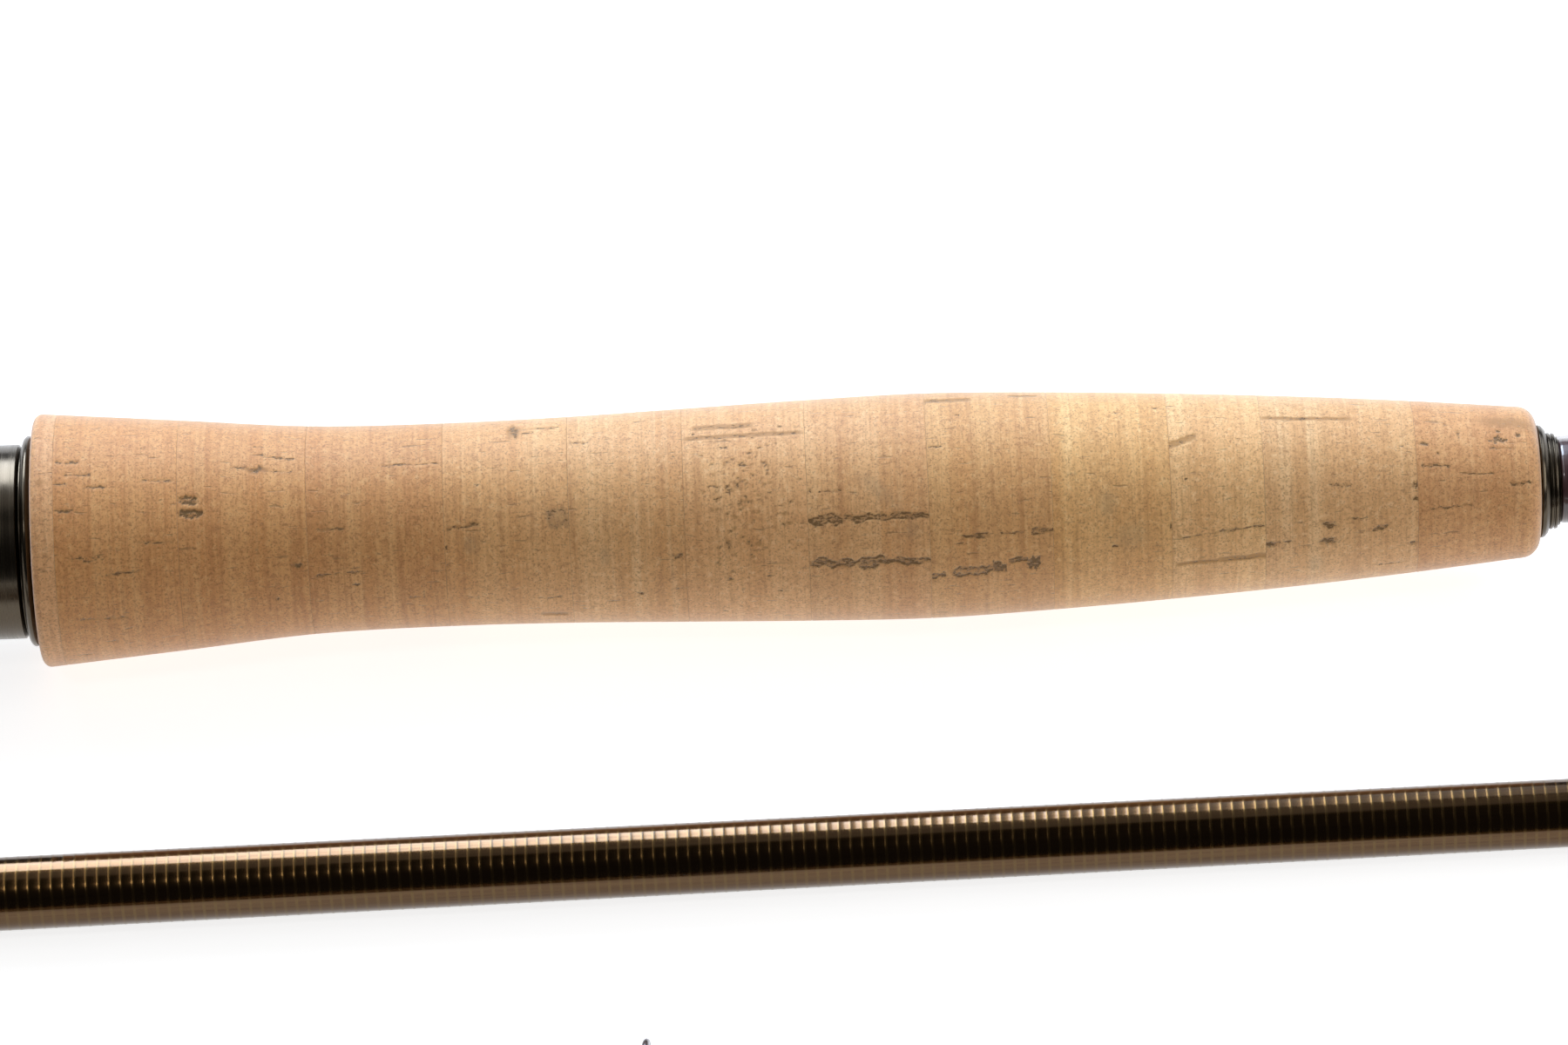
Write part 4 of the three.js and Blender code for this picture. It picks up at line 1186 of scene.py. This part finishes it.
def add_tip_top():
    """The tube at the very end of the rod, and the loop of wire brazed to its sides."""
    x0, _ = TIP.span("tip_top")
    x1 = TIP.span("tip_blank")[1] + 1.5
    points = TIP.local("tip_top")
    bore = TIP.blank_radius("tip_blank", SECTION_LENGTH) + 0.12
    outer = bore + 0.3
    reach = float(np.abs(points[:, 1]).max())
    wire = 0.6
    ring = reach - wire / 2
    sides = points[np.abs(points[:, 1]) > reach - 0.02]
    at, height = float(sides[:, 0].mean()), float(sides[:, 2].mean())
    tube = rounded([
        (x0, outer - 0.12), (x0 + 0.15, outer), (x1 - 0.25, outer), (x1, outer - 0.3), (x1, 0),
        (x1 - 1, 0), (x1 - 1, bore), (x0, bore),
    ], {1: 0.1, 2: 0.3})
    tube_obj = turned("tip_tube_piece", tube, SMALL)
    lean, opening = 0.2, math.radians(70)
    circle = leaning_ring(at, height, ring, lean, opening, TAU - opening, 32)

    def arm(hand):
        start = np.array([x0 + 5.5, hand * (outer + wire * 0.2), 0.0])
        rest = np.array(circle[0] if hand > 0 else circle[-1])
        return [start + (rest - start) * share for share in (0, 0.08, 0.3, 0.6, 0.85)]

    path = smooth_path(np.array(arm(1) + circle + arm(-1)[::-1]), 2)
    lower = leaning_ring(at, height, ring, lean, -opening, opening, 20)
    parts = [
        swept(path, wire, wire, 14),
        swept(lower, wire, wire, 14, (1, 0, 0)),
        swept([(x1 - 1.2, 0, 0), (x1 - 0.2, 0, 0), lower[10]], wire, wire, 12),
    ]
    obj = together("tip_loop", parts)
    join_into(obj, tube_obj)
    place(obj, TIP, WIRE, "guide_wire", ["tip_top"])
    add_wrap(TIP, "tip_loop_thread", "tip_top_wrap", "tip_blank", segments=48)


def add_butt_section():
    add_butt_cap()
    add_barrel()
    add_insert()
    add_lock_nut("rear_lock_nut", "nut_rear")
    add_lock_nut("front_lock_nut", "nut_front")
    add_sliding_hood()
    add_fixed_hood()
    add_grip_ring()
    for number in range(1, CORK_RINGS + 1):
        add_cork_ring(number)
    add_winding_check()
    add_blank(BUTT, "butt_blank", "butt_tube", 40)
    add_hook_keeper()
    add_stripping_guide()


def add_loose_section(section, prefix, guides, segments):
    blank = f"{prefix}_blank"
    add_blank(section, blank, f"{prefix}_tube", segments)
    add_wrap(section, f"{prefix}_socket_thread", f"{prefix}_ferrule_wrap", blank)
    for number in range(1, guides + 1):
        add_wire_guide(section, prefix, number, blank)


add_butt_section()
add_loose_section(SECTION_2, "section_2", 2, 40)
add_loose_section(SECTION_3, "section_3", 3, 36)
add_loose_section(TIP, "tip", 5, 32)
add_tip_top()


# ---- floor, lights and camera --------------------------------------------------------------------------

def add_floor():
    """A pale table that glows a little, as a lit white sheet does."""
    half = 2500
    low = CAD_BOX[0][2] / MM
    corners = [(-half, -half, low), (half, -half, low), (half, half, low), (-half, half, low)]
    floor = mesh_object("floor", corners, [[0, 1, 2, 3]], 0)
    m = Nodes("floor", Roughness=0.9, Specular_IOR_Level=0.1, Emission_Strength=0.82)
    m.shader.inputs["Emission Color"].default_value = (1, 1, 1, 1)
    cloud = m.noise(m.stretched((3, 3, 3)), detail=2.0)
    m.give("Base Color", m.mix(cloud, (0.46, 0.46, 0.46), (0.50, 0.50, 0.50)))
    remember_place(floor)
    floor.data.materials.append(m.material)


GRIP_MIDDLE = BUTT.matrix @ Vector(((GRIP[0, 0] + GRIP[-1, 0]) / 2 * MM, 0, 0))


def add_light(name, angle, span, x0, x1, radiance, distance=1.2, colour=(1, 1, 1)):
    """A soft box along the rod. Its angle is measured over the top from the front horizon, it spans
    some degrees of it, and it runs from x0 to x1 in metres from the middle of the grip."""
    height = 2 * distance * math.tan(math.radians(span) / 2)
    width = x1 - x0
    light = bpy.data.lights.new(name, "AREA")
    light.shape = "RECTANGLE"
    light.size = width
    light.size_y = height
    light.energy = radiance * math.pi * width * height
    light.color = colour
    obj = bpy.data.objects.new(name, light)
    turn = math.radians(angle)
    away = Vector((0, -math.cos(turn), math.sin(turn)))
    right = Vector((1, 0, 0))
    up = away.cross(right)
    spot = GRIP_MIDDLE + away * distance + right * (x0 + x1) / 2
    obj.matrix_world = axes_matrix(right, up, away, spot)
    obj.visible_camera = False
    bpy.context.scene.collection.objects.link(obj)


def add_lights():
    cool = (0.87, 1.0, 1.2)
    add_light("back_hot", 141, 38, -0.5, 0.01, 11.5, colour=cool)
    add_light("back_wide", 141, 38, -0.5, 1.3, 0.95, colour=cool)
    add_light("over", 105, 28, -0.6, 1.0, 0.3)
    add_light("strip", 98, 46, -0.57, -0.33, 2.3)
    add_light("window", 65, 7, -0.57, -0.33, 13)
    add_light("side_right", 60, 60, 0.3, 0.6, 3.6, 0.35)
    add_light("back_right", 135, 50, 0.65, 1.5, 2.2, colour=cool)
    add_light("back_left", 135, 50, -1.5, -0.7, 1.8, colour=cool)
    world = bpy.data.worlds.new("room")
    world.use_nodes = True
    background = world.node_tree.nodes["Background"]
    background.inputs["Color"].default_value = (1, 1, 1, 1)
    background.inputs["Strength"].default_value = 0.03
    bpy.context.scene.world = world


CAMERA = {"elevation": 48, "azimuth": 1, "roll": -3.617, "distance": 0.95, "lens": 213.2}
AIM = Vector((-0.47, -1.8, 0.3)) * MM     # where the camera looks, from the middle of the grip


def add_camera():
    """Looks down on the grip from the front, turned a little so that the rod climbs to the right."""
    elevation, azimuth, roll = (math.radians(CAMERA[key]) for key in ("elevation", "azimuth", "roll"))
    back = Vector((math.sin(azimuth) * math.cos(elevation), -math.cos(azimuth) * math.cos(elevation),
                   math.sin(elevation)))
    level = Vector((math.cos(azimuth), math.sin(azimuth), 0))
    upright = back.cross(level)
    right = level * math.cos(roll) + upright * math.sin(roll)
    up = upright * math.cos(roll) - level * math.sin(roll)
    spot = GRIP_MIDDLE + AIM + back * CAMERA["distance"]
    camera = bpy.data.cameras.new("camera")
    camera.sensor_width = 36
    camera.lens = CAMERA["lens"]
    camera.clip_start = 0.05
    obj = bpy.data.objects.new("camera", camera)
    obj.matrix_world = axes_matrix(right, up, back, spot)
    bpy.context.scene.collection.objects.link(obj)
    bpy.context.scene.camera = obj


add_floor()
add_lights()
add_camera()
bpy.context.scene.view_settings.view_transform = "Standard"
bpy.context.scene.view_settings.look = "None"
